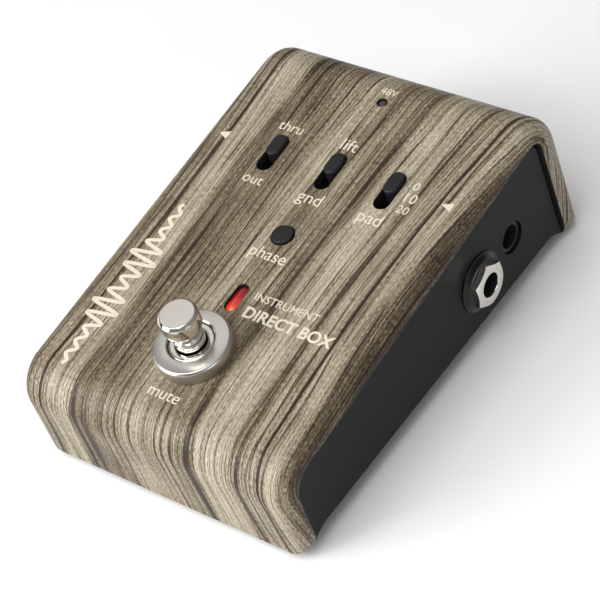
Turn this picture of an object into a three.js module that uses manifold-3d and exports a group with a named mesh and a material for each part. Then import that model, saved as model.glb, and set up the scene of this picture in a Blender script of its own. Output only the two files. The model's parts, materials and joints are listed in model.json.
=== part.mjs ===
import * as THREE from 'three';
import { mergeVertices } from 'three/addons/utils/BufferGeometryUtils.js';
import Module from 'manifold-3d';

// A wedge-shaped direct injection box.
//
// Two frames are used, both in millimetres with x to the right.
// Base frame: level, y to the rear, z up from the table.
// Deck frame: lies on the sloping top face, y to the rear along the slope, z out of the face.

const wasm = await Module();
wasm.setup();

// ---------------------------------------------------------------- driving dimensions

const DECK_TILT = THREE.MathUtils.degToRad(6.8);
const DECK_HEIGHT = 39.1;

const COVER = {
  halfWidth: 41.6,
  front: -66.4,
  rear: 59,
  frontLean: 0.04,
  frontBend: 10.4,
  rearBend: 12.2,
  edgeRound: 4.7,
  wall: 2.5,
  cornerRound: 5,
  tableGap: 1.85,
  undercut: THREE.MathUtils.degToRad(0.8),
};

// The side openings of the cover, measured inwards from its outer faces.
const OPENING = {
  top: 4.85,
  front: 5,
  rear: 7.9,
  frontBend: 6.2,
  rearBend: 4.3,
  ribWidth: 3.2,
};

const TRAY = {
  outerX: 40.7,
  sheet: 1.5,
  floor: 6.3,
  front: -59.5,
  rear: 60,
  topGap: 0.3,
  frontGap: 0.25,
  rearGap: 1,
  endDrop: 2.2,
  endRun: 6,
};

const SLIDER = {
  spacing: 18.25,
  y: 19.5,
  slotLength: 11.9,
  slotWidth: 4.4,
  knobLength: 7,
  knobWidth: 4,
  knobTop: 1.2,
};

const PHASE = { y: -2.5, radius: 2.9, holeRadius: 3.1, top: 0.9, bottom: -5.2 };
const PHANTOM = { y: 43.9, radius: 1.15, holeRadius: 1.35 };
const LENS = { y: -23.15, length: 8.1, width: 3, holeLength: 8.4, holeWidth: 3.3, top: -0.35 };

const FOOTSWITCH = {
  y: -40,
  holeRadius: 6.2,
  collarRadius: 10,
  collarHeight: 4.4,
  threadRadius: 5.9,
  bushTop: 3.9,
  boreRadius: 4.1,
  shaftRadius: 3.6,
  capRadius: 5.05,
  capHeight: 4.8,
  top: 15,
  bodySide: 17,
};

// Side sockets, each centre given in the deck frame as [y, z].
const INPUT_JACK = [16.7, -22.3];
const OUTPUT_JACK = [13, -21.6];
const POWER_SOCKET = [32.3, -23.1];
const BALANCED_SOCKET = [35.2, -21.3];

const JACK = {
  boreRadius: 3.2,
  threadRadius: 4.4,
  panelHole: 4.7,
  collarBase: 8.1,
  collarTip: 6.6,
  collarHeight: 1.45,
  nutFlats: 11,
  nutHeight: 1.85,
  bodySide: 16,
  bodyLength: 24,
};

const POWER = {
  holeRadius: 4.45,
  faceRadius: 4.2,
  recess: 0.8,
  boreRadius: 3.25,
  boreDepth: 9,
  pinRadius: 1.05,
  pinRecess: 3.6,
};

const BALANCED = {
  flangeWidth: 26,
  flangeHeight: 27,
  flangeSheet: 1.5,
  shellRadius: 11.6,
  cavityRadius: 9.4,
  length: 21,
  insertDepth: 12,
  pinCircle: 4.2,
  pinRadius: 1.2,
  screwOffset: [10.3, 10.8],
};

const BOARD = { top: -7.5, thickness: 1.6 };
const BOARD_SCREWS = [[32, 39], [-14, 39], [32, -24], [-32, -4]];

const BATTERY = { x: -23.05, width: 26.5, length: 46.4, height: 17.5, front: -44, terminal: 2.1 };
const DOOR = { left: -37.9, right: -8.6, hinge: -46.5, freeEnd: 3.6, gap: 0.4, barrel: 1.2, pin: 0.65 };

const FEET = [[-28, -53], [28, -53], [-28, 49], [28, 49]];
const FOOT = { radius: 4.4, tipRadius: 3.9 };
const BASE_SCREWS = [[-35, -54.7], [35, -54.7], [-34, 54], [34, 54]];
const BASE_SCREW = { shank: 1.25, head: 2.7, headHeight: 1.6, length: 7, post: 2.9, bore: 1.6 };

const ROUND = 32;
const FINE = 48;

// ---------------------------------------------------------------- materials

const finish = (color, roughness, metalness = 0) =>
  new THREE.MeshStandardMaterial({ color, roughness, metalness });

const wood = finish(0x857a69, 0.55);
const blackPaint = finish(0x333231, 0.5);
const chrome = finish(0xd8d6d2, 0.18, 1);
const steel = finish(0x9a9a98, 0.35, 1);
const brass = finish(0xc2a25a, 0.3, 1);
const blackPlastic = finish(0x1b1b1b, 0.45);
const blackGloss = finish(0x141414, 0.25);
const redLens = finish(0xd02015, 0.12);
const darkLens = finish(0x3a3a3a, 0.2);
const boardGreen = finish(0x1d4a2c, 0.5);
const rubber = finish(0x222222, 0.9);
const batteryJacket = finish(0x30363c, 0.4);
const redCable = finish(0xa02018, 0.5);

// ---------------------------------------------------------------- solids

const X_AXIS = new THREE.Vector3(1, 0, 0);
const Y_AXIS = new THREE.Vector3(0, 1, 0);
const Z_AXIS = new THREE.Vector3(0, 0, 1);
const DOWN_Y = new THREE.Vector3(0, -1, 0);

// Turns a closed three.js geometry into a solid that can be cut and joined.
function solid(geometry) {
  const bare = geometry.clone();
  for (const name of Object.keys(bare.attributes)) {
    if (name !== 'position') bare.deleteAttribute(name);
  }
  const merged = mergeVertices(bare, 1e-4);
  const index = merged.index.array;
  const triangles = [];
  for (let i = 0; i < index.length; i += 3) {
    const [a, b, c] = index.slice(i, i + 3);
    if (a !== b && b !== c && c !== a) triangles.push(a, b, c);
  }
  return new wasm.Manifold(new wasm.Mesh({
    numProp: 3,
    vertProperties: new Float32Array(merged.attributes.position.array),
    triVerts: new Uint32Array(triangles),
  }));
}

function mesh(name, body, material) {
  const data = body.getMesh();
  const geometry = new THREE.BufferGeometry();
  geometry.setAttribute('position', new THREE.BufferAttribute(data.vertProperties, 3));
  geometry.setIndex(new THREE.BufferAttribute(data.triVerts, 1));
  const result = new THREE.Mesh(geometry, material);
  result.name = name;
  return result;
}

const join = (...bodies) => bodies.reduce((sum, body) => sum.add(body));
const cut = (body, ...tools) => tools.reduce((rest, tool) => rest.subtract(tool), body);

function box(x, y, z) {
  const geometry = new THREE.BoxGeometry(x[1] - x[0], y[1] - y[0], z[1] - z[0]);
  geometry.translate((x[0] + x[1]) / 2, (y[0] + y[1]) / 2, (z[0] + z[1]) / 2);
  return solid(geometry);
}

// A solid of revolution. The profile is a list of [radius, height], anticlockwise.
function turned(profile, sides = ROUND) {
  const points = profile.map(([radius, height]) => new THREE.Vector2(radius, height));
  const geometry = new THREE.LatheGeometry(points, sides);
  geometry.rotateX(Math.PI / 2);
  return geometry;
}

const rod = (radius, bottom, top, sides) =>
  turned([[0, bottom], [radius, bottom], [radius, top], [0, top]], sides);

// Stands a geometry made along z at a point of its frame.
const upAt = (geometry, x, y, z = 0) => solid(geometry.translate(x, y, z));

// Lays a geometry made along z along x instead; side is +1 for the right and -1 for the left.
function sideways(geometry, side, [y, z]) {
  geometry.rotateY(side * Math.PI / 2);
  return solid(geometry.translate(0, y, z));
}

// Extrudes an outline drawn in (x, y) upwards.
function plate(outline, bottom, top, curveSegments = 8) {
  const settings = { depth: top - bottom, bevelEnabled: false, curveSegments };
  const geometry = new THREE.ExtrudeGeometry(outline, settings);
  geometry.translate(0, 0, bottom);
  return solid(geometry);
}

// Extrudes an outline drawn in (y, z) along x.
function sideProfile(outline, x, options = {}) {
  const settings = { depth: x[1] - x[0], bevelEnabled: false, curveSegments: 6, ...options };
  const geometry = new THREE.ExtrudeGeometry(outline, settings);
  geometry.applyMatrix4(new THREE.Matrix4().makeBasis(Y_AXIS, Z_AXIS, X_AXIS));
  geometry.translate(x[0], 0, 0);
  return geometry;
}

// Extrudes an outline drawn in (x, z) along y.
function frontProfile(outline, y) {
  const settings = { depth: y[1] - y[0], bevelEnabled: false, curveSegments: 5 };
  const geometry = new THREE.ExtrudeGeometry(outline, settings);
  geometry.applyMatrix4(new THREE.Matrix4().makeBasis(X_AXIS, Z_AXIS, DOWN_Y));
  return geometry.translate(0, y[1], 0);
}

// A polygon whose corners [u, v, radius] are rounded with arcs; corners run anticlockwise.
function roundedOutline(corners) {
  const outline = new THREE.Shape();
  corners.forEach(([u, v, radius = 0], i) => {
    const corner = new THREE.Vector2(u, v);
    const before = new THREE.Vector2(...corners.at(i - 1)).sub(corner).normalize();
    const after = new THREE.Vector2(...corners[(i + 1) % corners.length]).sub(corner).normalize();
    const half = Math.acos(before.dot(after)) / 2;
    const inwards = before.clone().add(after).normalize();
    const centre = inwards.multiplyScalar(radius / Math.sin(half)).add(corner);
    const enter = before.multiplyScalar(radius / Math.tan(half)).add(corner);
    const leave = after.multiplyScalar(radius / Math.tan(half)).add(corner);
    if (i === 0) outline.moveTo(enter.x, enter.y);
    else outline.lineTo(enter.x, enter.y);
    if (radius > 0) {
      const startAngle = enter.sub(centre).angle();
      const endAngle = leave.sub(centre).angle();
      outline.absarc(centre.x, centre.y, radius, startAngle, endAngle, false);
    }
  });
  outline.closePath();
  return outline;
}

const roundedRectangle = (x, y, radius) =>
  roundedOutline([[x[0], y[0], radius], [x[1], y[0], radius], [x[1], y[1], radius], [x[0], y[1], radius]]);

// An oblong with round ends, long in y, centred on (x, y).
function oblong(x, y, length, width) {
  const reach = (length - width) / 2;
  const outline = new THREE.Shape();
  outline.absarc(x, y + reach, width / 2, 0, Math.PI, false);
  outline.absarc(x, y - reach, width / 2, Math.PI, 2 * Math.PI, false);
  outline.closePath();
  return outline;
}

function hexPrism(flats, bottom, top) {
  const geometry = new THREE.CylinderGeometry(flats / Math.sqrt(3), flats / Math.sqrt(3), top - bottom, 6);
  geometry.rotateX(Math.PI / 2);
  return geometry.translate(0, 0, (bottom + top) / 2);
}

// ---------------------------------------------------------------- frames

const deckPlacement = new THREE.Matrix4().makeRotationX(DECK_TILT).setPosition(0, 0, DECK_HEIGHT);

function deckToBase([y, z]) {
  const point = new THREE.Vector3(0, y, z).applyMatrix4(deckPlacement);
  return [point.y, point.z];
}

// ---------------------------------------------------------------- cover

const BELOW_TABLE = -75;

// The outline of the front, top and rear in the deck frame, moved inwards by the given amounts.
function wedgeOutline({ front = 0, rear = 0, top = 0, frontBend, rearBend }) {
  const frontAt = (z) => COVER.front + front + COVER.frontLean * (z + 20);
  return roundedOutline([
    [frontAt(BELOW_TABLE), BELOW_TABLE],
    [COVER.rear - rear, BELOW_TABLE],
    [COVER.rear - rear, -top, rearBend],
    [frontAt(-top), -top, frontBend],
  ]);
}

const onDeck = (geometry) => solid(geometry.applyMatrix4(deckPlacement));

function coverBlock() {
  const { edgeRound, halfWidth, frontBend, rearBend } = COVER;
  const straight = halfWidth - edgeRound;
  return onDeck(sideProfile(wedgeOutline({ frontBend, rearBend }), [-straight, straight], {
    bevelEnabled: true,
    bevelSize: edgeRound,
    bevelThickness: edgeRound,
    bevelOffset: -edgeRound,
    bevelSegments: 6,
  }));
}

// Cuts the cover off above the table, a little higher at the front, and rounds its lower corners.
function coverTrim() {
  const { halfWidth, tableGap, cornerRound, undercut } = COVER;
  const outline = roundedOutline([
    [-halfWidth, tableGap, cornerRound],
    [halfWidth, tableGap, cornerRound],
    [halfWidth, 80],
    [-halfWidth, 80],
  ]);
  return solid(frontProfile(outline, [-90, 90]).rotateX(-undercut));
}

function coverHollows() {
  const { wall, halfWidth, frontBend, rearBend } = COVER;
  const cavityX = halfWidth - OPENING.ribWidth;
  const cavity = wedgeOutline({
    front: wall, rear: wall, top: wall, frontBend: frontBend - wall, rearBend: rearBend - wall,
  });
  const openings = wedgeOutline(OPENING);
  return [
    onDeck(sideProfile(cavity, [-cavityX, cavityX])),
    onDeck(sideProfile(openings, [-halfWidth - 5, halfWidth + 5])),
  ];
}

function deckHoles() {
  const through = { depth: 14, bevelEnabled: false, curveSegments: 8 };
  const pierce = (outline) => new THREE.ExtrudeGeometry(outline, through).translate(0, 0, -7);
  const hole = (radius, y, sides) => onDeck(rod(radius, -7, 7, sides).translate(0, y, 0));
  const slots = [-1, 0, 1].map((step) =>
    onDeck(pierce(oblong(step * SLIDER.spacing, SLIDER.y, SLIDER.slotLength, SLIDER.slotWidth))));
  return [
    ...slots,
    onDeck(pierce(oblong(0, LENS.y, LENS.holeLength, LENS.holeWidth))),
    hole(PHASE.holeRadius, PHASE.y, ROUND),
    hole(PHANTOM.holeRadius, PHANTOM.y, 20),
    hole(FOOTSWITCH.holeRadius, FOOTSWITCH.y, ROUND),
  ];
}

// Posts for the base screws reach down to just above the floor of the tray.
function screwPosts(block) {
  const foot = TRAY.floor + TRAY.sheet + 0.3;
  const posts = BASE_SCREWS.map(([x, y]) =>
    upAt(rod(BASE_SCREW.post, foot, 60, 20), x, y).intersect(block));
  const bores = BASE_SCREWS.map(([x, y]) => upAt(rod(BASE_SCREW.bore, 0, foot + 8, 16), x, y));
  return { posts, bores };
}

// Short posts under the deck carry the circuit board.
function boardPosts() {
  const foot = BOARD.top + 0.3;
  return {
    posts: BOARD_SCREWS.map(([x, y]) => onDeck(rod(2.6, foot, -1, 16).translate(x, y, 0))),
    bores: BOARD_SCREWS.map(([x, y]) => onDeck(rod(1.3, -20, -3.2, 12).translate(x, y, 0))),
  };
}

function topCover() {
  const block = coverBlock().intersect(coverTrim());
  const shell = cut(block, ...coverHollows());
  const base = screwPosts(block);
  const board = boardPosts();
  const posted = join(shell, ...base.posts, ...board.posts);
  return mesh('top_cover', cut(posted, ...base.bores, ...board.bores, ...deckHoles()), wood);
}

// ---------------------------------------------------------------- base tray

const input = deckToBase(INPUT_JACK);
const output = deckToBase(OUTPUT_JACK);
const power = deckToBase(POWER_SOCKET);
const balanced = deckToBase(BALANCED_SOCKET);

// The side panels fill the cover's side openings with a small gap, down to an arched lower edge.
function sidePanel(side) {
  const inner = TRAY.outerX - TRAY.sheet;
  const span = side > 0 ? [inner, TRAY.outerX] : [-TRAY.outerX, -inner];
  const outline = wedgeOutline({
    front: OPENING.front + TRAY.frontGap,
    rear: OPENING.rear + TRAY.rearGap,
    top: OPENING.top + TRAY.topGap,
    frontBend: OPENING.frontBend,
    rearBend: OPENING.rearBend,
  });
  const front = panelEnd(-1);
  const rear = panelEnd(1);
  const arch = new THREE.Shape();
  const low = TRAY.floor - TRAY.endDrop;
  arch.moveTo(front - 20, low);
  arch.lineTo(front, low);
  arch.quadraticCurveTo(front + TRAY.endRun * 0.4, TRAY.floor, front + TRAY.endRun, TRAY.floor);
  arch.lineTo(rear - TRAY.endRun, TRAY.floor);
  arch.quadraticCurveTo(rear - TRAY.endRun * 0.4, TRAY.floor, rear, low);
  arch.lineTo(rear + 20, low);
  arch.lineTo(rear + 20, 80);
  arch.lineTo(front - 20, 80);
  arch.closePath();
  return onDeck(sideProfile(outline, span)).intersect(solid(sideProfile(arch, span)));
}

// Where a side panel ends in the base frame near the table: -1 for the front end, 1 for the rear end.
function panelEnd(end) {
  const level = -30 - 6 * end;
  if (end > 0) return deckToBase([COVER.rear - OPENING.rear - TRAY.rearGap, level])[0];
  return deckToBase([COVER.front + OPENING.front + TRAY.frontGap, level])[0];
}

function trayFloor() {
  const { outerX, front, rear, floor, sheet } = TRAY;
  const middle = COVER.halfWidth - OPENING.ribWidth - 0.4;
  const z = [floor, floor + sheet];
  return join(
    box([-outerX, outerX], [panelEnd(-1) + 0.3, panelEnd(1) - 0.3], z),
    box([-middle, middle], [front, rear], z),
  );
}

function hingeLugs() {
  const z = [TRAY.floor, TRAY.floor + 3];
  const y = [DOOR.hinge - 1.8, DOOR.hinge + 1.8];
  const bore = sideways(rod(DOOR.pin + 0.12, -80, 80, 12), 1, [DOOR.hinge, TRAY.floor + DOOR.barrel]);
  const left = box([DOOR.left - 1.5, DOOR.left], y, z);
  const right = box([DOOR.right, DOOR.right + 2.6], y, z);
  const trimmed = bore.intersect(box([DOOR.left - 1, DOOR.right + 1.6], [-80, 80], [0, 20]));
  return { lugs: [left, right], bore: trimmed };
}

function baseTray() {
  const hinge = hingeLugs();
  const doorFront = DOOR.hinge - DOOR.barrel - DOOR.gap;
  const doorway = box([DOOR.left, DOOR.right], [doorFront, DOOR.freeEnd], [0, 20]);
  const panelHole = (radius, side, centre, sides) =>
    sideways(rod(radius, TRAY.outerX - 6, TRAY.outerX + 6, sides), side, centre);
  const screwHoles = BASE_SCREWS.map(([x, y]) => upAt(rod(1.75, 0, 20, 16), x, y));
  const [dy, dz] = BALANCED.screwOffset;
  const connectorHoles = [-1, 1].map((sign) =>
    panelHole(1.45, -1, [balanced[0] + sign * dy, balanced[1] - sign * dz], 12));
  const folded = join(sidePanel(-1), sidePanel(1), trayFloor());
  const cleared = cut(folded, doorway, ...screwHoles, ...connectorHoles);
  const drilled = cut(
    cleared,
    panelHole(JACK.panelHole, 1, input, ROUND),
    panelHole(JACK.panelHole, -1, output, ROUND),
    panelHole(POWER.holeRadius, 1, power, ROUND),
    panelHole(BALANCED.shellRadius + 0.3, -1, balanced, ROUND),
  );
  return mesh('base_tray', cut(join(drilled, ...hinge.lugs), hinge.bore), blackPaint);
}

// ---------------------------------------------------------------- battery and its door

function batteryDoor() {
  const { floor, sheet } = TRAY;
  const x = [DOOR.left + DOOR.gap, DOOR.right - DOOR.gap];
  const y = [DOOR.hinge, DOOR.freeEnd - DOOR.gap];
  const barrel = rod(DOOR.barrel, x[0], x[1], 20);
  const bore = rod(DOOR.pin + 0.12, x[0] - 2, x[1] + 2, 12);
  const axis = [DOOR.hinge, floor + DOOR.barrel];
  const ribs = [0, 1, 2, 3, 4].map((i) => {
    const y0 = DOOR.freeEnd - 4 - 2.2 * i;
    return box([BATTERY.x - 7, BATTERY.x + 7], [y0 - 0.5, y0 + 0.5], [floor - 0.6, floor + 0.3]);
  });
  const leaf = join(box(x, y, [floor, floor + sheet]), sideways(barrel, 1, axis), ...ribs);
  return mesh('battery_door', cut(leaf, sideways(bore, 1, axis)), blackPlastic);
}

function doorPin() {
  const pin = rod(DOOR.pin, DOOR.left - 0.9, DOOR.right + 1.5, 12);
  return mesh('door_hinge_pin', sideways(pin, 1, [DOOR.hinge, TRAY.floor + DOOR.barrel]), steel);
}

const batteryFloor = TRAY.floor + TRAY.sheet + 0.3;
const terminals = [-6.35, 6.35];

function battery() {
  const { x, width, length, height, front, terminal } = BATTERY;
  const outline = roundedRectangle([x - width / 2, x + width / 2], [batteryFloor, batteryFloor + height], 2);
  const body = solid(frontProfile(outline, [front, front + length]));
  const rear = front + length;
  const studs = terminals.map((offset) => {
    const stud = new THREE.CylinderGeometry(2.9, 2.9, terminal + 1, 20);
    stud.translate(x + offset, rear + terminal / 2 - 0.5, batteryFloor + height / 2);
    return solid(stud);
  });
  return mesh('battery', join(body, ...studs), batteryJacket);
}

function batterySnap() {
  const { x, height, front, length, terminal } = BATTERY;
  const rear = front + length + 0.2;
  const middle = batteryFloor + height / 2;
  const cap = box([x - 12, x + 12], [rear, rear + terminal + 1.6], [middle - 4.5, middle + 4.5]);
  const wells = terminals.map((offset) => {
    const well = new THREE.CylinderGeometry(3.3, 3.3, terminal + 0.3, 20);
    return solid(well.translate(x + offset, rear + (terminal + 0.3) / 2 - 0.05, middle));
  });
  return mesh('battery_snap', cut(cap, ...wells), blackPlastic);
}

function batteryLead(name, startX, material) {
  const { x, height, front, length, terminal } = BATTERY;
  const rear = front + length + 0.2 + terminal + 1.6;
  const middle = batteryFloor + height / 2;
  const route = new THREE.CatmullRomCurve3([
    new THREE.Vector3(x + startX, rear - 1.6, middle + 5.3),
    new THREE.Vector3(x + startX + 1, rear - 1.2, middle + 8),
    new THREE.Vector3(x + startX + 6, rear, middle + 11),
    new THREE.Vector3(x + startX + 12, rear + 2.4, middle + 12.6),
  ]);
  const section = new THREE.Shape().absarc(0, 0, 0.6, 0, 2 * Math.PI, false);
  const settings = { steps: 12, extrudePath: route, curveSegments: 4, bevelEnabled: false };
  return mesh(name, solid(new THREE.ExtrudeGeometry(section, settings)), material);
}

// ---------------------------------------------------------------- circuit board

function mainBoard() {
  const outline = roundedOutline([
    [-36.5, -8, 1], [-8, -8, 1], [-8, -28, 1], [36.5, -28, 1], [36.5, 43, 1], [-36.5, 43, 1],
  ]);
  const slab = plate(outline, BOARD.top - BOARD.thickness, BOARD.top, 2);
  const holes = BOARD_SCREWS.map(([x, y]) => upAt(rod(1.3, -20, 0, 12), x, y));
  return mesh('main_board', cut(slab, ...holes), boardGreen);
}

function boardScrew(name, [x, y]) {
  const under = BOARD.top - BOARD.thickness;
  const profile = [
    [0, under - 1.4],
    [1.6, under - 1.4],
    [2.1, under - 1],
    [2.1, under],
    [1, under],
    [1, -3.8],
    [0, -3.8],
  ];
  return mesh(name, upAt(turned(profile, 16), x, y), steel);
}

function chip() {
  const under = BOARD.top - BOARD.thickness;
  return mesh('output_driver_chip', box([8, 18], [-12, -6], [under - 2, under - 0.1]), blackPlastic);
}

function capacitor(name, x, y) {
  const under = BOARD.top - BOARD.thickness;
  return mesh(name, upAt(rod(4, under - 11, under - 0.1, 24), x, y), darkLens);
}

// ---------------------------------------------------------------- deck controls

function slideSwitchBody(name, x) {
  const bottom = BOARD.top + 0.2;
  const top = -COVER.wall - 0.6;
  const half = SLIDER.slotLength / 2 + 1.6;
  const block = box([x - 3.8, x + 3.8], [SLIDER.y - half, SLIDER.y + half], [bottom, top]);
  const outline = oblong(x, SLIDER.y, SLIDER.slotLength + 0.3, SLIDER.slotWidth + 0.2);
  const channel = plate(outline, bottom + 1, 0, 4);
  return mesh(name, cut(block, channel), blackPlastic);
}

// The knob rests at the rear end of its slot.
const knobTravel = SLIDER.slotLength - SLIDER.knobLength - 0.5;

function slideKnob(name, x) {
  const y = SLIDER.y + knobTravel / 2;
  const outline = oblong(x, y, SLIDER.knobLength, SLIDER.knobWidth);
  const settings = {
    depth: 5.2,
    bevelEnabled: true,
    bevelSize: 0.35,
    bevelThickness: 0.35,
    bevelOffset: -0.35,
    bevelSegments: 2,
    curveSegments: 6,
  };
  const stem = new THREE.ExtrudeGeometry(outline, settings);
  stem.translate(0, 0, SLIDER.knobTop - settings.depth - settings.bevelThickness);
  return mesh(name, solid(stem), blackPlastic);
}

function phaseSwitchBody() {
  const bottom = BOARD.top + 0.2;
  const top = -COVER.wall - 0.6;
  const block = box([-5, 5], [PHASE.y - 5, PHASE.y + 5], [bottom, top]);
  const well = upAt(rod(PHASE.holeRadius, bottom + 0.5, 0, ROUND), 0, PHASE.y);
  return mesh('phase_switch_body', cut(block, well), blackPlastic);
}

function phaseButton() {
  const { radius, top, bottom, y } = PHASE;
  const profile = [
    [0, bottom],
    [radius, bottom],
    [radius, top - 0.5],
    [radius - 0.15, top - 0.15],
    [radius - 0.5, top],
    [0, top],
  ];
  return mesh('phase_button', upAt(turned(profile), 0, y), blackPlastic);
}

function phantomLed() {
  const { radius, y } = PHANTOM;
  const profile = [
    [0, BOARD.top + 0.2],
    [1.6, BOARD.top + 0.2],
    [1.6, -4],
    [radius, -4],
    [radius, -0.6],
    [0.8, -0.2],
    [0, -0.1],
  ];
  return mesh('phantom_led', upAt(turned(profile, 20), 0, y), darkLens);
}

function muteLens() {
  const settings = {
    depth: 4,
    bevelEnabled: true,
    bevelSize: 0.6,
    bevelThickness: 0.6,
    bevelOffset: -0.6,
    bevelSegments: 3,
    curveSegments: 6,
  };
  const body = new THREE.ExtrudeGeometry(oblong(0, LENS.y, LENS.length, LENS.width), settings);
  body.translate(0, 0, LENS.top - settings.depth - settings.bevelThickness);
  return mesh('mute_lens', solid(body), redLens);
}

function muteLed() {
  const height = [BOARD.top + 0.1, BOARD.top + 1.7];
  return mesh('mute_led', box([-1.4, 1.4], [LENS.y - 1.8, LENS.y + 1.8], height), redLens);
}

// ---------------------------------------------------------------- footswitch

function footswitchParts() {
  const { y, bodySide, threadRadius, boreRadius, bushTop } = FOOTSWITCH;
  const half = bodySide / 2;
  const bodyTop = -6.6;
  const bodyBottom = -22.4;

  const can = box([-half, half], [y - half, y + half], [bodyBottom, bodyTop]);
  const well = upAt(rod(boreRadius, -15.5, 0), 0, y);
  const lugs = [-5.5, 0, 5.5].flatMap((x) => [-4.5, 0, 4.5].map((dy) =>
    box([x - 1, x + 1], [y + dy - 0.4, y + dy + 0.4], [bodyBottom - 3, bodyBottom + 0.5])));
  const body = cut(join(can, ...lugs), well);

  const thread = turned([
    [boreRadius, bodyTop + 0.3],
    [threadRadius, bodyTop + 0.3],
    [threadRadius, bushTop - 0.5],
    [threadRadius - 0.5, bushTop],
    [boreRadius + 0.4, bushTop],
    [boreRadius, bushTop - 0.4],
    [boreRadius, bodyTop + 0.3],
  ]);
  const bush = upAt(thread, 0, y);

  const inner = upAt(rod(threadRadius + 0.1, -10, 10), 0, y);
  const lockNut = cut(upAt(hexPrism(14, -5, -COVER.wall - 0.3), 0, y), inner);

  const { collarRadius, collarHeight } = FOOTSWITCH;
  const inside = threadRadius + 0.12;
  const collar = upAt(turned([
    [inside, 0.05],
    [collarRadius, 0.05],
    [collarRadius, collarHeight - 0.9],
    [collarRadius - 0.45, collarHeight - 0.35],
    [inside + 0.35, collarHeight],
    [inside, collarHeight - 0.3],
    [inside, 0.05],
  ], FINE), 0, y);

  const { shaftRadius, capRadius, capHeight, top } = FOOTSWITCH;
  const neckTop = top - capHeight;
  const plunger = upAt(turned([
    [0, -11.5],
    [shaftRadius, -11.5],
    [shaftRadius, neckTop - 1.2],
    [capRadius - 1.1, neckTop - 1],
    [capRadius - 0.35, neckTop],
    [capRadius, neckTop + 0.4],
    [capRadius, top - 0.7],
    [capRadius - 0.6, top],
    [0, top],
  ], FINE), 0, y);

  return [
    mesh('footswitch_body', body, blackPlastic),
    mesh('footswitch_bush', bush, chrome),
    mesh('footswitch_lock_nut', lockNut, steel),
    mesh('footswitch_collar', collar, chrome),
    mesh('footswitch_plunger', plunger, chrome),
  ];
}

// ---------------------------------------------------------------- side sockets

function jackParts(prefix, side, centre) {
  const { boreRadius, threadRadius, collarBase, collarTip, collarHeight, nutFlats, nutHeight } = JACK;
  const inner = TRAY.outerX - TRAY.sheet - 0.2;
  const face = TRAY.outerX + collarHeight;
  const half = JACK.bodySide / 2;
  const back = inner - JACK.bodyLength;
  const spanX = side > 0 ? [back, inner] : [-inner, -back];
  const block = box(spanX, [centre[0] - half, centre[0] + half], [centre[1] - half, centre[1] + half]);
  const barrel = sideways(rod(threadRadius, inner - 1, face + nutHeight - 0.3), side, centre);
  const bore = sideways(rod(boreRadius, back + 2, face + 9), side, centre);
  const clearance = threadRadius + 0.12;
  const collar = turned([
    [clearance, TRAY.outerX + 0.02],
    [collarBase, TRAY.outerX + 0.02],
    [collarBase, TRAY.outerX + 0.35],
    [collarTip, face],
    [clearance, face],
    [clearance, TRAY.outerX + 0.02],
  ]);
  const tip = face + nutHeight;
  const chamfer = turned([
    [0, face],
    [nutFlats / Math.sqrt(3) + 0.1, face],
    [nutFlats / Math.sqrt(3) + 0.1, tip - 0.75],
    [nutFlats / 2 - 0.1, tip],
    [0, tip],
  ]);
  const hexagon = sideways(hexPrism(nutFlats, face + 0.02, tip), side, centre);
  const nut = cut(
    hexagon.intersect(sideways(chamfer, side, centre)),
    sideways(rod(clearance, 0, 80), side, centre),
  );
  return [
    mesh(`${prefix}_jack_body`, cut(join(block, barrel), bore), blackPlastic),
    mesh(`${prefix}_jack_collar`, sideways(collar, side, centre), blackPaint),
    mesh(`${prefix}_jack_nut`, nut, chrome),
  ];
}

function powerSocketParts() {
  const { faceRadius, recess, boreRadius, boreDepth, pinRadius, pinRecess } = POWER;
  const inner = TRAY.outerX - TRAY.sheet - 0.2;
  const face = TRAY.outerX - recess;
  const block = box([inner - 13, inner], [power[0] - 4.5, power[0] + 4.5], [power[1] - 5.5, power[1] + 4.7]);
  const barrel = sideways(rod(faceRadius, inner - 1, face), 1, power);
  const bore = sideways(rod(boreRadius, face - boreDepth, face + 5), 1, power);
  const pin = turned([
    [0, face - boreDepth],
    [pinRadius, face - boreDepth],
    [pinRadius, face - pinRecess - 0.5],
    [pinRadius - 0.4, face - pinRecess],
    [0, face - pinRecess],
  ], 16);
  return [
    mesh('power_socket_body', cut(join(block, barrel), bore), blackPlastic),
    mesh('power_socket_pin', sideways(pin, 1, power), steel),
  ];
}

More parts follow.
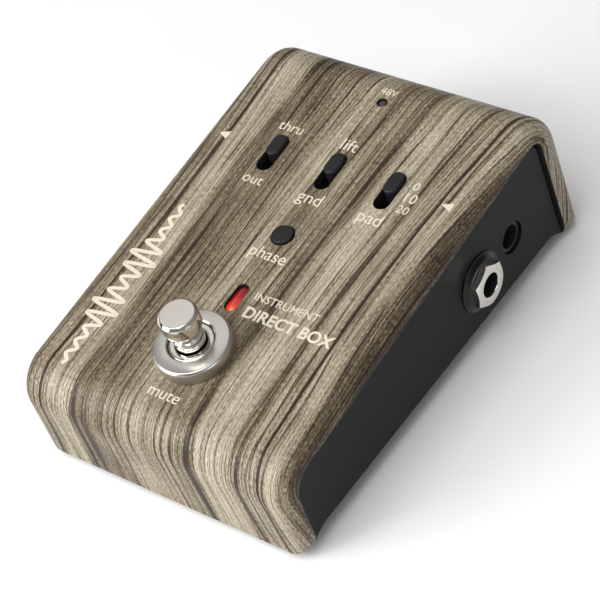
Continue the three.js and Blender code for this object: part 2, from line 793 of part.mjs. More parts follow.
function balancedSocketParts() {
  const [y, z] = balanced;
  const outer = TRAY.outerX + BALANCED.flangeSheet;
  const halfWidth = BALANCED.flangeWidth / 2;
  const halfHeight = BALANCED.flangeHeight / 2;
  const [dy, dz] = BALANCED.screwOffset;
  const screwCentres = [-1, 1].map((sign) => [y + sign * dy, z - sign * dz]);

  const outline = roundedRectangle([y - halfWidth, y + halfWidth], [z - halfHeight, z + halfHeight], 3);
  const flange = solid(sideProfile(outline, [-outer, -TRAY.outerX - 0.02], { curveSegments: 3 }));
  const tube = sideways(rod(BALANCED.shellRadius, outer - BALANCED.length, outer - 0.5), -1, balanced);
  const cavity = sideways(rod(BALANCED.cavityRadius, 0, outer + 5), -1, balanced);
  const holes = screwCentres.map((centre) => sideways(rod(1.45, 30, 50, 12), -1, centre));
  const shell = cut(join(flange, tube), cavity, ...holes);

  const insertFace = outer - BALANCED.insertDepth;
  const insert = rod(BALANCED.cavityRadius - 0.15, outer - BALANCED.length + 0.5, insertFace);
  const pins = [20, 160, 270].map((angle, i) => {
    const direction = THREE.MathUtils.degToRad(angle);
    const centre = [
      y + BALANCED.pinCircle * Math.cos(direction),
      z + BALANCED.pinCircle * Math.sin(direction),
    ];
    const { pinRadius } = BALANCED;
    const tip = outer - 1.8;
    const pin = turned([
      [0, insertFace + 0.02],
      [pinRadius, insertFace + 0.02],
      [pinRadius, tip - 0.6],
      [pinRadius - 0.6, tip],
      [0, tip],
    ], 16);
    return mesh(`balanced_socket_pin_${i + 1}`, sideways(pin, -1, centre), brass);
  });
  const screws = screwCentres.map((centre, i) => {
    const screw = turned([
      [0, outer - 5.5],
      [1.15, outer - 5.5],
      [1.15, outer + 0.02],
      [2.3, outer + 0.02],
      [2.3, outer + 0.7],
      [1.5, outer + 1.2],
      [0, outer + 1.2],
    ], 20);
    return mesh(`balanced_socket_screw_${i + 1}`, sideways(screw, -1, centre), steel);
  });
  return [
    mesh('balanced_socket_shell', shell, steel),
    mesh('balanced_socket_insert', sideways(insert, -1, balanced), blackPlastic),
    ...pins,
    ...screws,
  ];
}

// ---------------------------------------------------------------- underside

function foot(name, [x, y]) {
  const { radius, tipRadius } = FOOT;
  const top = TRAY.floor - 0.02;
  const profile = [[0, 0], [tipRadius - 0.4, 0], [tipRadius, 0.4], [radius, top], [0, top]];
  return mesh(name, upAt(turned(profile, 24), x, y), rubber);
}

function baseScrew(name, [x, y]) {
  const { shank, head, headHeight, length } = BASE_SCREW;
  const seat = TRAY.floor - 0.02;
  const profile = [
    [0, seat - headHeight],
    [head - 0.8, seat - headHeight],
    [head, seat - headHeight + 0.7],
    [head, seat],
    [shank, seat],
    [shank, seat + length],
    [0, seat + length],
  ];
  return mesh(name, upAt(turned(profile, 20), x, y), steel);
}

// ---------------------------------------------------------------- assembly

const deckGroup = new THREE.Group();
deckGroup.rotation.x = DECK_TILT;
deckGroup.position.z = DECK_HEIGHT;
deckGroup.add(
  mainBoard(),
  ...BOARD_SCREWS.map((place, i) => boardScrew(`board_screw_${i + 1}`, place)),
  chip(),
  capacitor('filter_capacitor_1', 4, 8),
  capacitor('filter_capacitor_2', 4, 34),
  phaseSwitchBody(),
  phaseButton(),
  phantomLed(),
  muteLens(),
  muteLed(),
  ...footswitchParts(),
);
['output', 'ground', 'pad'].forEach((name, i) => {
  const x = (i - 1) * SLIDER.spacing;
  deckGroup.add(slideSwitchBody(`${name}_switch_body`, x), slideKnob(`${name}_switch_knob`, x));
});

const levelGroup = new THREE.Group();
levelGroup.add(
  topCover(),
  baseTray(),
  batteryDoor(),
  doorPin(),
  battery(),
  batterySnap(),
  batteryLead('battery_lead_red', -9, redCable),
  batteryLead('battery_lead_black', -6, blackGloss),
  ...jackParts('input', 1, input),
  ...jackParts('output', -1, output),
  ...powerSocketParts(),
  ...balancedSocketParts(),
  ...FEET.map((place, i) => foot(`foot_${i + 1}`, place)),
  ...BASE_SCREWS.map((place, i) => baseScrew(`base_screw_${i + 1}`, place)),
);

const directBox = new THREE.Group();
directBox.add(levelGroup, deckGroup);

// The origin is on the table under the middle of the box.
directBox.updateMatrixWorld(true);
const middle = new THREE.Box3().setFromObject(directBox, true).getCenter(new THREE.Vector3());
directBox.position.set(-middle.x, -middle.y, 0);

export default directBox;
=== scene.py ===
"""A direct injection box: wood-print cover, black side panels, chrome footswitch and side sockets.

Lengths are in metres. The constant MM turns millimetres into metres.
The deck is the sloping top of the cover. In its frame x is to the right, y up the slope and z out of it.
"""

import json
import math

import bmesh
import bpy
import numpy as np
from mathutils import Matrix, Vector


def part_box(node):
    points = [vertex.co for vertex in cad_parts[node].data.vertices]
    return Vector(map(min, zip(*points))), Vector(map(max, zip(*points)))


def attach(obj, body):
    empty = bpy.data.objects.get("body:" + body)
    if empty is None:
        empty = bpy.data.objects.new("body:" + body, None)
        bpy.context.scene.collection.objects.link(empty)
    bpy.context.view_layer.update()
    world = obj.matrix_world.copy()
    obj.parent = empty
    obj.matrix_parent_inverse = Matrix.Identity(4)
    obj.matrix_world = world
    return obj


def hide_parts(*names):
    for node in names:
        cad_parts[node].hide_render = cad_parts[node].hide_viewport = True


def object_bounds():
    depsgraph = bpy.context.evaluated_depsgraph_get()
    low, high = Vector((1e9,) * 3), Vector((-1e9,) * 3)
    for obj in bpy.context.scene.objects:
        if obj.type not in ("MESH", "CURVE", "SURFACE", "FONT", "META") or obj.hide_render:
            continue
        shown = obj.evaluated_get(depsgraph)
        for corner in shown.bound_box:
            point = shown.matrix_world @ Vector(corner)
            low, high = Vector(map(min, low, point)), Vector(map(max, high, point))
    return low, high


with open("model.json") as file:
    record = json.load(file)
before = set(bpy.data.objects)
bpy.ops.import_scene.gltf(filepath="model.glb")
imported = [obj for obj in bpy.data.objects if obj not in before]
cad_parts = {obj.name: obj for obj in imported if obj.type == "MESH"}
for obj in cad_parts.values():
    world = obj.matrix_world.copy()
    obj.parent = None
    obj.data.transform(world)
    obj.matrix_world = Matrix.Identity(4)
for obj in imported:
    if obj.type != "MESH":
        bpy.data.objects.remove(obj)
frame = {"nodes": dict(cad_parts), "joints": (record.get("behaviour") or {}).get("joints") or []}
cad_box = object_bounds()

MM = 0.001
NODES = frame["nodes"]
JOINTS = {joint["name"]: joint for joint in frame["joints"]}
CENTRE = (cad_box[0] + cad_box[1]) / 2

# ---- driving dimensions, in millimetres

COVER = {
    "front_lean": 0.04, "front_bend": 10.4, "rear_bend": 12.2, "edge_round": 4.7, "wall": 2.5,
    "corner_round": 5, "undercut": math.radians(0.8), "lip": 0.25, "rib": 3.2,
}
OPENING = {"top": 4.85, "front": 5, "rear": 7.9, "front_bend": 6.2, "rear_bend": 4.3}
HOLE_LIP = 0.14  # rounding of the deck round each hole
CLEAR = 0.01  # how far a cutter stands past the face it cuts
POST = {"base_radius": 2.9, "base_bore": 1.6, "screw_head": 3.7, "board_radius": 2.6, "board_bore": 1.3}

SLOT = {"length": 11.9, "width": 4.4}
KNOB = {"length": 7, "width": 4, "top": 1.2, "depth": 5.4, "round": 0.55}
PHASE = {"radius": 2.9, "hole": 3.1, "top": 0.9, "depth": 5.2}
PHANTOM = {"radius": 1.15, "hole": 1.35}
LENS = {"length": 8.2, "width": 3.1, "hole_length": 8.4, "hole_width": 3.3, "top": -0.1, "depth": 4}
FOOTSWITCH = {
    "hole": 6.2, "collar": 10, "collar_height": 4.4, "thread": 5.9, "bush_top": 3.9, "bore": 4.1,
    "shaft": 3.6, "cap": 5.05, "cap_height": 4.8, "top": 15,
}
JACK = {
    "bore": 3.2, "thread": 4.4, "base": 8.1, "tip": 6.6, "collar": 1.45, "flats": 11, "nut": 1.85,
    "sunk": 0.02,
}

CAMERA = {
    "azimuth": 47.25, "elevation": 43.89, "roll": -16.67, "distance": 560.74, "lens": 133.75,
    "aim": (2.04, -4.82, -5.8),
}

# ---- the deck frame

RIGHT = Vector((1, 0, 0))
NORMAL = -Vector(JOINTS["footswitch_press"]["axis"]).normalized()
SLOPE = NORMAL.cross(RIGHT)


def reach(node, direction):
    """The lowest and highest place of a CAD node along a direction."""
    places = [vertex.co.dot(direction) for vertex in NODES[node].data.vertices]
    return min(places), max(places)


def middle(node):
    low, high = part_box(node)
    return (low + high) / 2


def deck_frame():
    """The deck frame, with y = 0 set so that the phase button's centre has y = -2.5 mm."""
    height = reach("top_cover", NORMAL)[1]
    along = middle("phase_button").dot(SLOPE) + 2.5 * MM
    origin = SLOPE * along + NORMAL * height
    axes = Matrix((RIGHT, SLOPE, NORMAL)).transposed().to_4x4()
    return Matrix.Translation(origin) @ axes


DECK = deck_frame()
TO_DECK = DECK.inverted()


def on_deck(node):
    """A CAD node's centre in the deck frame, in millimetres."""
    return (TO_DECK @ middle(node)) / MM


def cover_ends():
    """Where the planes of the front and rear faces cross the deck's plane, as y in the deck frame."""
    across_front = SLOPE - NORMAL * COVER["front_lean"]
    front = reach("top_cover", across_front)[0] - DECK.translation.dot(across_front)
    rear = reach("top_cover", SLOPE)[1] - DECK.translation.dot(SLOPE)
    return front / MM, rear / MM


FRONT, REAR = cover_ends()
HALF_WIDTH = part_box("top_cover")[1].x / MM

# ---- mesh tools


def rounded(corners, closed=True, step=6):
    """A polygon whose corners (u, v, radius) become arcs; an open path keeps its two ends."""
    points = []
    count = len(corners)
    for i, (u, v, radius) in enumerate(corners):
        corner = Vector((u, v))
        is_end = not closed and i in (0, count - 1)
        if radius <= 0 or is_end:
            points.append(corner)
            continue
        before = (Vector(corners[i - 1][:2]) - corner).normalized()
        after = (Vector(corners[(i + 1) % count][:2]) - corner).normalized()
        half = before.angle(after) / 2
        centre = corner + (before + after).normalized() * (radius / math.sin(half))
        start = corner + before * (radius / math.tan(half)) - centre
        end = corner + after * (radius / math.tan(half)) - centre
        turn = math.atan2(start.x * end.y - start.y * end.x, start.dot(end))
        steps = max(2, math.ceil(abs(math.degrees(turn)) / step - 1e-6))
        for k in range(steps + 1):
            points.append(centre + Matrix.Rotation(turn * k / steps, 2) @ start)
    return points


def oblong(length, width, x=0, y=0):
    """A slot's outline, long in y, round at both ends."""
    half_x, half_y, radius = width / 2, length / 2, width / 2 - 1e-4
    corners = [(-1, -1), (1, -1), (1, 1), (-1, 1)]
    return rounded([(x + i * half_x, y + j * half_y, radius) for i, j in corners])


def circle(radius, x, y, sides=64):
    turns = [2 * math.pi * k / sides for k in range(sides)]
    return [(x + radius * math.cos(t), y + radius * math.sin(t)) for t in turns]


def add_object(name, data, place):
    made = bpy.data.objects.new(name, data)
    bpy.context.scene.collection.objects.link(made)
    made.matrix_world = place
    return made


def new_piece(name, bm, place=Matrix.Identity(4)):
    """A piece from a mesh in millimetres; its object carries the scale until settle() moves it."""
    bmesh.ops.remove_doubles(bm, verts=bm.verts, dist=1e-4)
    bmesh.ops.recalc_face_normals(bm, faces=bm.faces)
    mesh = bpy.data.meshes.new(name)
    bm.to_mesh(mesh)
    bm.free()
    return add_object(name, mesh, place @ Matrix.Scale(MM, 4))


def settle(piece):
    """Moves a piece's scale into its mesh, so that the mesh is in metres. Cuts are made before that."""
    piece.data.transform(Matrix.Scale(MM, 4))
    piece.matrix_world = piece.matrix_world @ Matrix.Scale(1 / MM, 4)


def loft(name, rings, place=Matrix.Identity(4)):
    """A closed mesh through rings of points, which are in millimetres, with a flat face on each end."""
    bm = bmesh.new()
    loops = [[bm.verts.new(point) for point in ring] for ring in rings]
    count = len(loops[0])
    for lower, upper in zip(loops, loops[1:]):
        for i in range(count):
            j = (i + 1) % count
            bm.faces.new((lower[i], lower[j], upper[j], upper[i]))
    bm.faces.new(loops[0])
    bm.faces.new(loops[-1])
    return new_piece(name, bm, place)


def turned(name, profile, place=Matrix.Identity(4), sides=96):
    """A solid of revolution round z. The profile (radius, height) ends on the axis or joins up."""
    bm = bmesh.new()
    rings = []
    for radius, height in profile:
        if radius < 1e-6:
            rings.append([bm.verts.new((0, 0, height))])
            continue
        rings.append([bm.verts.new((x, y, height)) for x, y in circle(radius, 0, 0, sides)])
    starts_on_axis = len(rings[0]) == 1
    following = rings[1:] if starts_on_axis else rings[1:] + rings[:1]
    for lower, upper in zip(rings, following):
        for k in range(sides):
            corners = [lower[k % len(lower)], lower[(k + 1) % sides % len(lower)]]
            corners += [upper[(k + 1) % sides % len(upper)], upper[k % len(upper)]]
            unique = list(dict.fromkeys(corners))
            if len(unique) > 2:
                bm.faces.new(unique)
    return new_piece(name, bm, place)


def lathe(name, corners, place, sides):
    """A turned piece; the corners of its profile are (radius, height, rounding)."""
    on_axis = corners[0][0] == 0
    return turned(name, rounded(corners, closed=not on_axis, step=15), place, sides)


def block(name, low, high, place, edge):
    """A box between two corners in millimetres, with rounded edges."""
    bm = bmesh.new()
    bmesh.ops.create_cube(bm, size=1)
    size = Vector(high) - Vector(low)
    centre = (Vector(high) + Vector(low)) / 2
    for vertex in bm.verts:
        vertex.co = Vector([vertex.co[i] * size[i] + centre[i] for i in range(3)])
    bmesh.ops.bevel(bm, geom=bm.edges[:], offset=edge, segments=3, profile=0.5, affect="EDGES")
    return new_piece(name, bm, place)


def combine(target, tool, operation):
    """Cuts, joins or intersects target with tool, which is used up."""
    modifier = target.modifiers.new("combine", "BOOLEAN")
    modifier.object = tool
    modifier.operation = operation
    modifier.solver = "EXACT"
    modifier.material_mode = "TRANSFER"
    bpy.context.view_layer.update()
    graph = bpy.context.evaluated_depsgraph_get()
    result = bpy.data.meshes.new_from_object(target.evaluated_get(graph))
    target.modifiers.clear()
    target.data = result
    bpy.data.objects.remove(tool)
    return target


def cut(target, *tools):
    for tool in tools:
        combine(target, tool, "DIFFERENCE")
    return target


def smooth(piece, angle=35):
    """Smooth shading with creases above an angle."""
    mesh = piece.data
    mesh.polygons.foreach_set("use_smooth", [True] * len(mesh.polygons))
    mesh.set_sharp_from_angle(angle=math.radians(angle))
    return piece


def finish_piece(piece, slot, *nodes, body="enclosure", look=None):
    """Gives a new piece its body and material, and hides the CAD nodes that it stands for.

    The material is the slot's own, unless look names another.
    """
    settle(piece)
    piece.data.materials.clear()
    piece.data.materials.append(MATERIALS[look or slot])
    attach(piece, body)
    if nodes:
        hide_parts(*nodes)


def standing(origin, axis):
    """A frame at origin whose z runs along axis."""
    turn = Vector(axis).to_track_quat("Z", "Y").to_matrix().to_4x4()
    return Matrix.Translation(origin) @ turn


def deck_place(x, y, z=0):
    """The deck frame moved to a point of the deck given in millimetres."""
    return DECK @ Matrix.Translation(Vector((x, y, z)) * MM)


def place_over(node):
    """The deck frame moved sideways to a CAD node's centre."""
    spot = on_deck(node)
    return deck_place(spot.x, spot.y)


# ---- material tools


class Graph:
    """The node tree of a new material or world, with short calls for the nodes used here."""

    def __init__(self, name, kind=bpy.data.materials, shader="Principled BSDF"):
        self.owner = kind.new(name)
        self.owner.use_nodes = True
        self.tree = self.owner.node_tree
        self.shader = self.tree.nodes[shader]

    def node(self, kind, *values, **settings):
        """A new node, with values or links for its first inputs."""
        made = self.tree.nodes.new(kind)
        for key, value in settings.items():
            setattr(made, key, value)
        for socket, value in zip(made.inputs, values):
            self.feed(socket, value)
        return made

    def feed(self, socket, value):
        if isinstance(value, bpy.types.NodeSocket):
            self.tree.links.new(value, socket)
        else:
            socket.default_value = value

    def set(self, **values):
        """Sets the shader's sockets; an underscore in a name stands for a space."""
        for key, value in values.items():
            self.feed(self.shader.inputs[key.replace("_", " ")], value)

    def math(self, operation, a, b=0.0, clamp=False):
        return self.node("ShaderNodeMath", a, b, operation=operation, use_clamp=clamp).outputs[0]

    def scaled(self, value, factor, offset=0.0):
        return self.node("ShaderNodeMath", value, factor, offset, operation="MULTIPLY_ADD").outputs[0]

    def vector(self, x, y, z=0.0):
        return self.node("ShaderNodeCombineXYZ", x, y, z).outputs[0]

    def place(self):
        """The piece's own coordinates in millimetres."""
        coordinates = self.node("ShaderNodeTexCoord").outputs["Object"]
        made = self.node("ShaderNodeVectorMath", coordinates, operation="SCALE")
        made.inputs["Scale"].default_value = 1 / MM
        return made.outputs[0]

    def split(self, vector):
        return self.node("ShaderNodeSeparateXYZ", vector).outputs

    def noise(self, vector, scale=1.0, **settings):
        """Noise; the settings are the node's own detail, roughness and distortion."""
        made = self.node("ShaderNodeTexNoise", vector)
        for key, value in (("scale", scale), *settings.items()):
            made.inputs[key.title()].default_value = value
        return made.outputs["Fac"]

    def grain(self, across, along, across_scale, along_scale, seed, **settings):
        """Noise stretched along the grain; the scales are in cells per millimetre."""
        place = self.vector(self.scaled(across, across_scale), self.scaled(along, along_scale), seed)
        return self.noise(place, **settings)

    def between(self, value, low, high, out_low=0.0, out_high=1.0, curve="LINEAR"):
        """Maps low..high to out_low..out_high, held at both ends."""
        span = (low, high, out_low, out_high)
        return self.node("ShaderNodeMapRange", value, *span, interpolation_type=curve).outputs["Result"]

    def ramp(self, factor, stops):
        made = self.node("ShaderNodeValToRGB", factor)
        ramp = made.color_ramp
        while len(ramp.elements) < len(stops):
            ramp.elements.new(0.5)
        for element, (position, colour) in zip(ramp.elements, stops):
            element.position = position
            element.color = (*colour, 1)
        return made.outputs["Color"]

    def mix(self, factor, a, b):
        made = self.node("ShaderNodeMix", factor, data_type="RGBA")
        for socket, colour in ((made.inputs[6], a), (made.inputs[7], b)):
            self.feed(socket, colour if isinstance(colour, bpy.types.NodeSocket) else (*colour, 1))
        return made.outputs[2]

    def bump(self, height, depth, strength=1.0):
        """Relief from a height of 0 to 1, depth in millimetres."""
        made = self.node("ShaderNodeBump")
        made.inputs["Strength"].default_value = strength
        made.inputs["Distance"].default_value = depth * MM
        self.feed(made.inputs["Height"], height)
        self.feed(self.shader.inputs["Normal"], made.outputs["Normal"])


def shade(red, green, blue):
    """A colour given as the 0 to 255 values that a screen shows."""

    def linear(value):
        value /= 255
        return value / 12.92 if value <= 0.04045 else ((value + 0.055) / 1.055) ** 2.4

    return linear(red), linear(green), linear(blue)


# ---- wood print

# How light the print is across the deck, as (millimetres from the middle, lightness). The dark stops on the
# right edge, from 39.5 mm out, are partly the print and partly painted shade where the edge turns away from
# the light.
PRINT_AND_SHADE_BANDS = [
    (-48, 0.36), (-40, 0.44), (-35, 0.46), (-33, 0.60), (-29, 0.69), (-25.4, 0.62),
    (-24.2, 0.34), (-20, 0.33), (-14, 0.41), (-10, 0.45), (-7, 0.60), (-3, 0.58),
    (1, 0.44), (6, 0.48), (11, 0.38), (13.5, 0.66), (20, 0.76), (23, 0.58),
    (25.4, 0.40), (27.5, 0.62), (30.4, 0.52), (33, 0.60), (35.2, 0.66), (37.6, 0.42),
    (39.5, 0.22), (48, 0.12),
]

# Single dark grain lines: (millimetres from the middle, half width, darkness).
PRINT_LINES = [
    (-33.7, 0.2, 0.62), (-23.2, 0.34, 0.36), (-20.6, 0.22, 0.32), (3.4, 0.2, 0.3),
    (10.6, 0.34, 0.48), (25.0, 0.26, 0.48), (31.1, 0.22, 0.7),
]

# Repeated thin grain lines: (spacing, width, seed, darkness), in millimetres.
GROWTH_LINES = [(4.4, 0.7, 31.0, 0.52), (2.1, 0.42, 57.0, 0.42), (1.0, 0.27, 43.0, 0.4)]

PRINT_COLOURS = [
    (0.0, shade(40, 31, 21)), (0.2, shade(72, 60, 44)), (0.45, shade(116, 103, 82)),
    (0.68, shade(158, 148, 127)), (0.86, shade(182, 173, 153)), (1.0, shade(198, 190, 172)),
]


def print_lightness_and_edge_shade(graph, across, along):
    """The print's lightness, with painted shade on its right edge, without its fine grain, and the place
    across the wandering fibres.
    """
    spread = graph.scaled(across, 1.92e-5, 3.16e-4)
    from_front = graph.math("ADD", along, 18.0)
    widening = graph.math("MULTIPLY", graph.math("MULTIPLY", from_front, from_front), spread)
    straight = graph.math("SUBTRACT", across, widening)

    drift = graph.grain(straight, along, 0.05, 0.012, 0.0, detail=1)
    wobble = graph.grain(straight, along, 0.3, 0.05, 7.0)
    fibre_at = graph.math("ADD", straight, graph.scaled(drift, 3.2, -1.6))
    bands_at = graph.math("ADD", fibre_at, graph.scaled(wobble, 1.3, -0.65))

    # These stops hold the print's bands and, on the right edge, painted shade.
    stops = [((x + 48) / 96, (tone, tone, tone)) for x, tone in PRINT_AND_SHADE_BANDS]
    lightness = graph.ramp(graph.scaled(bands_at, 1 / 96, 0.5), stops)

    lines_at = graph.math("ADD", straight, graph.scaled(wobble, 1.0, -0.5))
    patchy = graph.between(graph.grain(straight, along, 0.1, 0.03, 3.0, detail=1), 0.4, 0.6, 0.15, 0.7)
    at_front = graph.between(along, FRONT + 10, FRONT, 0.0, 1.0, curve="SMOOTHSTEP")
    strength = graph.math("MAXIMUM", patchy, at_front)
    for position, half_width, darkness in PRINT_LINES:
        off = graph.math("ABSOLUTE", graph.math("SUBTRACT", lines_at, position))
        line = graph.between(off, half_width, half_width * 2.4, darkness, 0.0, curve="SMOOTHSTEP")
        if darkness < 0.5:
            line = graph.math("MULTIPLY", line, strength)
        lightness = graph.math("SUBTRACT", lightness, line)
    return lightness, fibre_at


def grain_streaks(graph, fibre_at, along):
    """Long thin streaks from three sizes of stretched noise."""
    total = -0.85
    for across_scale, along_scale, height in ((0.5, 0.012, 0.35), (1.5, 0.018, 0.55), (4.0, 0.035, 0.8)):
        streak = graph.grain(fibre_at, along, across_scale, along_scale, across_scale, roughness=0.6)
        total = graph.scaled(streak, height, total)
    return total


def growth_lines(graph, fibre_at, along, spacing, width, seed):
    """Thin dark lines that wander along the grain and fade in and out."""
    sway = graph.grain(fibre_at, along, 0.11, 0.018, seed)
    phase = graph.math("ADD", graph.scaled(fibre_at, 1 / spacing), graph.scaled(sway, 5.0 / spacing))
    step = graph.math("FRACT", phase)
    line = graph.between(step, 0.0, width / spacing, 1.0, 0.0)
    edge = graph.between(step, 1 - 0.3 * width / spacing, 1.0)
    patch = graph.between(graph.grain(fibre_at, along, 0.6, 0.035, seed + 5.0, detail=1), 0.38, 0.6)
    return graph.math("MULTIPLY", graph.math("MAXIMUM", line, edge), patch)


def wood_print():
    """Printed grain that runs from front to rear over both bends, under a satin lacquer; painted shade
    darkens its right edge.
    """
    graph = Graph("wood_print_film")
    print_map = graph.node("ShaderNodeUVMap", uv_map="print").outputs["UV"]
    across, along = graph.split(print_map)[:2]

    lightness, fibre_at = print_lightness_and_edge_shade(graph, across, along)
    streaks = grain_streaks(graph, fibre_at, along)
    fleck = graph.scaled(graph.grain(fibre_at, along, 5.0, 0.9, 11.0, detail=1), 1.1, -0.55)
    clouds = graph.grain(fibre_at, along, 0.12, 0.09, 19.0)

    side = graph.between(graph.math("ABSOLUTE", across), 37.0, 40.0, curve="SMOOTHSTEP")
    rough = graph.grain(across, along, 1.4, 0.55, 23.0, detail=4, roughness=0.7, distortion=0.6)

    fine = graph.math("ADD", streaks, graph.scaled(clouds, 0.3, -0.08))
    fine = graph.math("SUBTRACT", fine, fleck)
    for spacing, width, seed, darkness in GROWTH_LINES:
        lines = growth_lines(graph, fibre_at, along, spacing, width, seed)
        fine = graph.math("SUBTRACT", fine, graph.scaled(lines, darkness))
    fine = graph.math("ADD", fine, graph.math("MULTIPLY", side, graph.scaled(rough, 0.5, -0.25)))
    tone = graph.math("ADD", lightness, fine, clamp=True)
    colour = graph.ramp(tone, PRINT_COLOURS)

    graph.set(Base_Color=colour, Roughness=graph.scaled(tone, -0.08, 0.5), Specular_IOR_Level=0.3)
    graph.bump(tone, 0.03, 0.5)
    return graph.owner


# ---- other materials


def black_paint(name, level, roughness, grain=0.02):
    """Satin black paint with a faint orange-peel relief and slightly uneven gloss."""
    graph = Graph(name)
    place = graph.place()
    peel = graph.noise(place, scale=2.4, detail=3, roughness=0.6)
    cloud = graph.noise(place, scale=0.08, detail=2)
    tint = graph.mix(cloud, shade(level - 2, level - 2, level - 3), shade(level + 4, level + 3, level + 2))
    graph.set(Base_Color=tint, Roughness=graph.scaled(peel, 0.1, roughness - 0.05), Specular_IOR_Level=0.15)
    graph.bump(peel, grain, 0.5)
    return graph.owner


def moulded_plastic(name, colour, roughness):
    """Moulded plastic with a fine matt texture."""
    graph = Graph(name)
    place = graph.place()
    texture = graph.noise(place, scale=7, detail=2)
    blotch = graph.noise(place, scale=0.5, detail=2)
    lighter = tuple(min(1.0, c * 1.25 + 0.001) for c in colour)
    graph.set(
        Base_Color=graph.mix(blotch, colour, lighter),
        Roughness=graph.scaled(texture, 0.12, roughness - 0.06),
        Specular_IOR_Level=0.3,
    )
    graph.bump(texture, 0.01, 0.4)
    return graph.owner


def plated(name, colour, roughness, smear=0.06):
    """Plated metal with faint smears in its gloss."""
    graph = Graph(name)
    place = graph.place()
    smears = graph.noise(place, scale=0.6, detail=4, roughness=0.65)
    tint = graph.mix(smears, colour, tuple(c * 0.94 for c in colour))
    graph.set(Base_Color=tint, Metallic=1.0, Roughness=graph.scaled(smears, smear, roughness - smear / 2))
    return graph.owner


def brushed(name, colour, roughness, wall_top, wall_roughness):
    """Turned metal: fine circular marks round its own z axis, and a duller wall below the turned face."""
    graph = Graph(name)
    x, y, z = graph.split(graph.place())
    squares = graph.math("ADD", graph.math("MULTIPLY", x, x), graph.math("MULTIPLY", y, y))
    radius = graph.math("SQRT", squares)
    marks = graph.noise(graph.vector(radius, 0.0, z), scale=9, detail=3, roughness=0.7)
    gloss = graph.scaled(marks, 0.14, roughness - 0.07)
    wall = graph.between(z, wall_top, wall_top - 0.2)
    graph.set(
        Base_Color=graph.mix(marks, colour, tuple(c * 0.9 for c in colour)),
        Metallic=1.0,
        Roughness=graph.math("ADD", gloss, graph.scaled(wall, wall_roughness - roughness)),
        Anisotropic=0.7,
    )
    tangent = graph.node("ShaderNodeTangent", direction_type="RADIAL", axis="Z")
    graph.feed(graph.shader.inputs["Tangent"], tangent.outputs["Tangent"])
    graph.bump(marks, 0.006, 0.5)
    return graph.owner


def red_window():
    """A glossy red lens, darker at its rear, with a painted orange highlight towards its front; its faint
    glow has the same colours.
    """
    graph = Graph("red_window")
    x, y = graph.split(graph.place())[:2]
    # Painted highlight: the lens turns orange towards its front whatever the lamps do, and the emission
    # below repeats it.
    painted_highlight = graph.between(graph.math("SUBTRACT", x, y), -3.6, 4.2)
    cloud = graph.noise(graph.place(), scale=0.7, detail=2)
    level = graph.math("ADD", painted_highlight, graph.scaled(cloud, 0.3, -0.15), clamp=True)
    colour = graph.ramp(level, [
        (0.0, shade(70, 2, 7)), (0.45, shade(152, 8, 14)),
        (0.8, shade(214, 58, 30)), (1.0, shade(242, 112, 60)),
    ])
    graph.set(
        Base_Color=colour, Roughness=0.12, Coat_Weight=0.6, Coat_Roughness=0.03,
        Emission_Color=colour, Emission_Strength=0.15,
    )
    return graph.owner


def cream_ink():
    """Screen-printed ink, slightly uneven."""
    graph = Graph("cream_ink")
    patches = graph.noise(graph.place(), scale=2.2, detail=3)
    graph.set(Base_Color=graph.mix(patches, shade(230, 220, 201), shade(219, 207, 186)), Roughness=0.55)
    return graph.owner


def circuit_board():
    """Green solder mask with paler copper tracks under it."""
    graph = Graph("circuit_board")
    place = graph.place()
    cells = graph.node("ShaderNodeTexVoronoi", feature="DISTANCE_TO_EDGE", distance="MANHATTAN")
    graph.feed(cells.inputs["Vector"], place)
    cells.inputs["Scale"].default_value = 1.75
    track = graph.between(cells.outputs["Distance"], 0.05, 0.08)
    weave = graph.noise(place, scale=3, detail=2)
    base = graph.mix(weave, shade(18, 66, 38), shade(26, 80, 46))
    colour = graph.mix(track, shade(40, 108, 62), base)
    graph.set(Base_Color=colour, Roughness=0.35, Coat_Weight=0.4, Coat_Roughness=0.15)
    graph.bump(graph.math("SUBTRACT", 1.0, track), 0.04, 0.4)
    return graph.owner


def battery_wrap():
    """A dark printed sleeve with a copper-coloured shoulder at the terminal end."""
    graph = Graph("battery_wrap")
    along = graph.split(graph.place())[1]
    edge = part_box("battery")[1].y / MM - 14
    band = graph.between(along, edge - 0.1, edge + 0.1)
    scuffs = graph.noise(graph.place(), scale=1.5, detail=4, roughness=0.7)
    dark = graph.mix(scuffs, shade(34, 38, 44), shade(50, 54, 60))
    copper = graph.mix(scuffs, shade(176, 110, 62), shade(150, 92, 50))
    gloss = graph.scaled(scuffs, 0.15, 0.28)
    graph.set(Base_Color=graph.mix(band, dark, copper), Metallic=graph.scaled(band, 0.7), Roughness=gloss)
    return graph.owner


def rubber():
    graph = Graph("black_rubber")
    dust = graph.noise(graph.place(), scale=1.8, detail=5, roughness=0.7)
    colour = graph.mix(graph.between(dust, 0.5, 0.75), shade(26, 26, 26), shade(52, 50, 48))
    graph.set(Base_Color=colour, Roughness=0.85, Specular_IOR_Level=0.25)
    graph.bump(dust, 0.05, 0.6)
    return graph.owner


def sleeve():
    """A capacitor's shiny sleeve with a pale stripe."""
    graph = Graph("capacitor_sleeve")
    x, y = graph.split(graph.place())[:2]
    stripe = graph.between(graph.noise(graph.vector(x, y), scale=0.2, detail=0), 0.56, 0.58)
    graph.set(Base_Color=graph.mix(stripe, shade(30, 32, 52), shade(170, 172, 176)), Roughness=0.3)
    return graph.owner


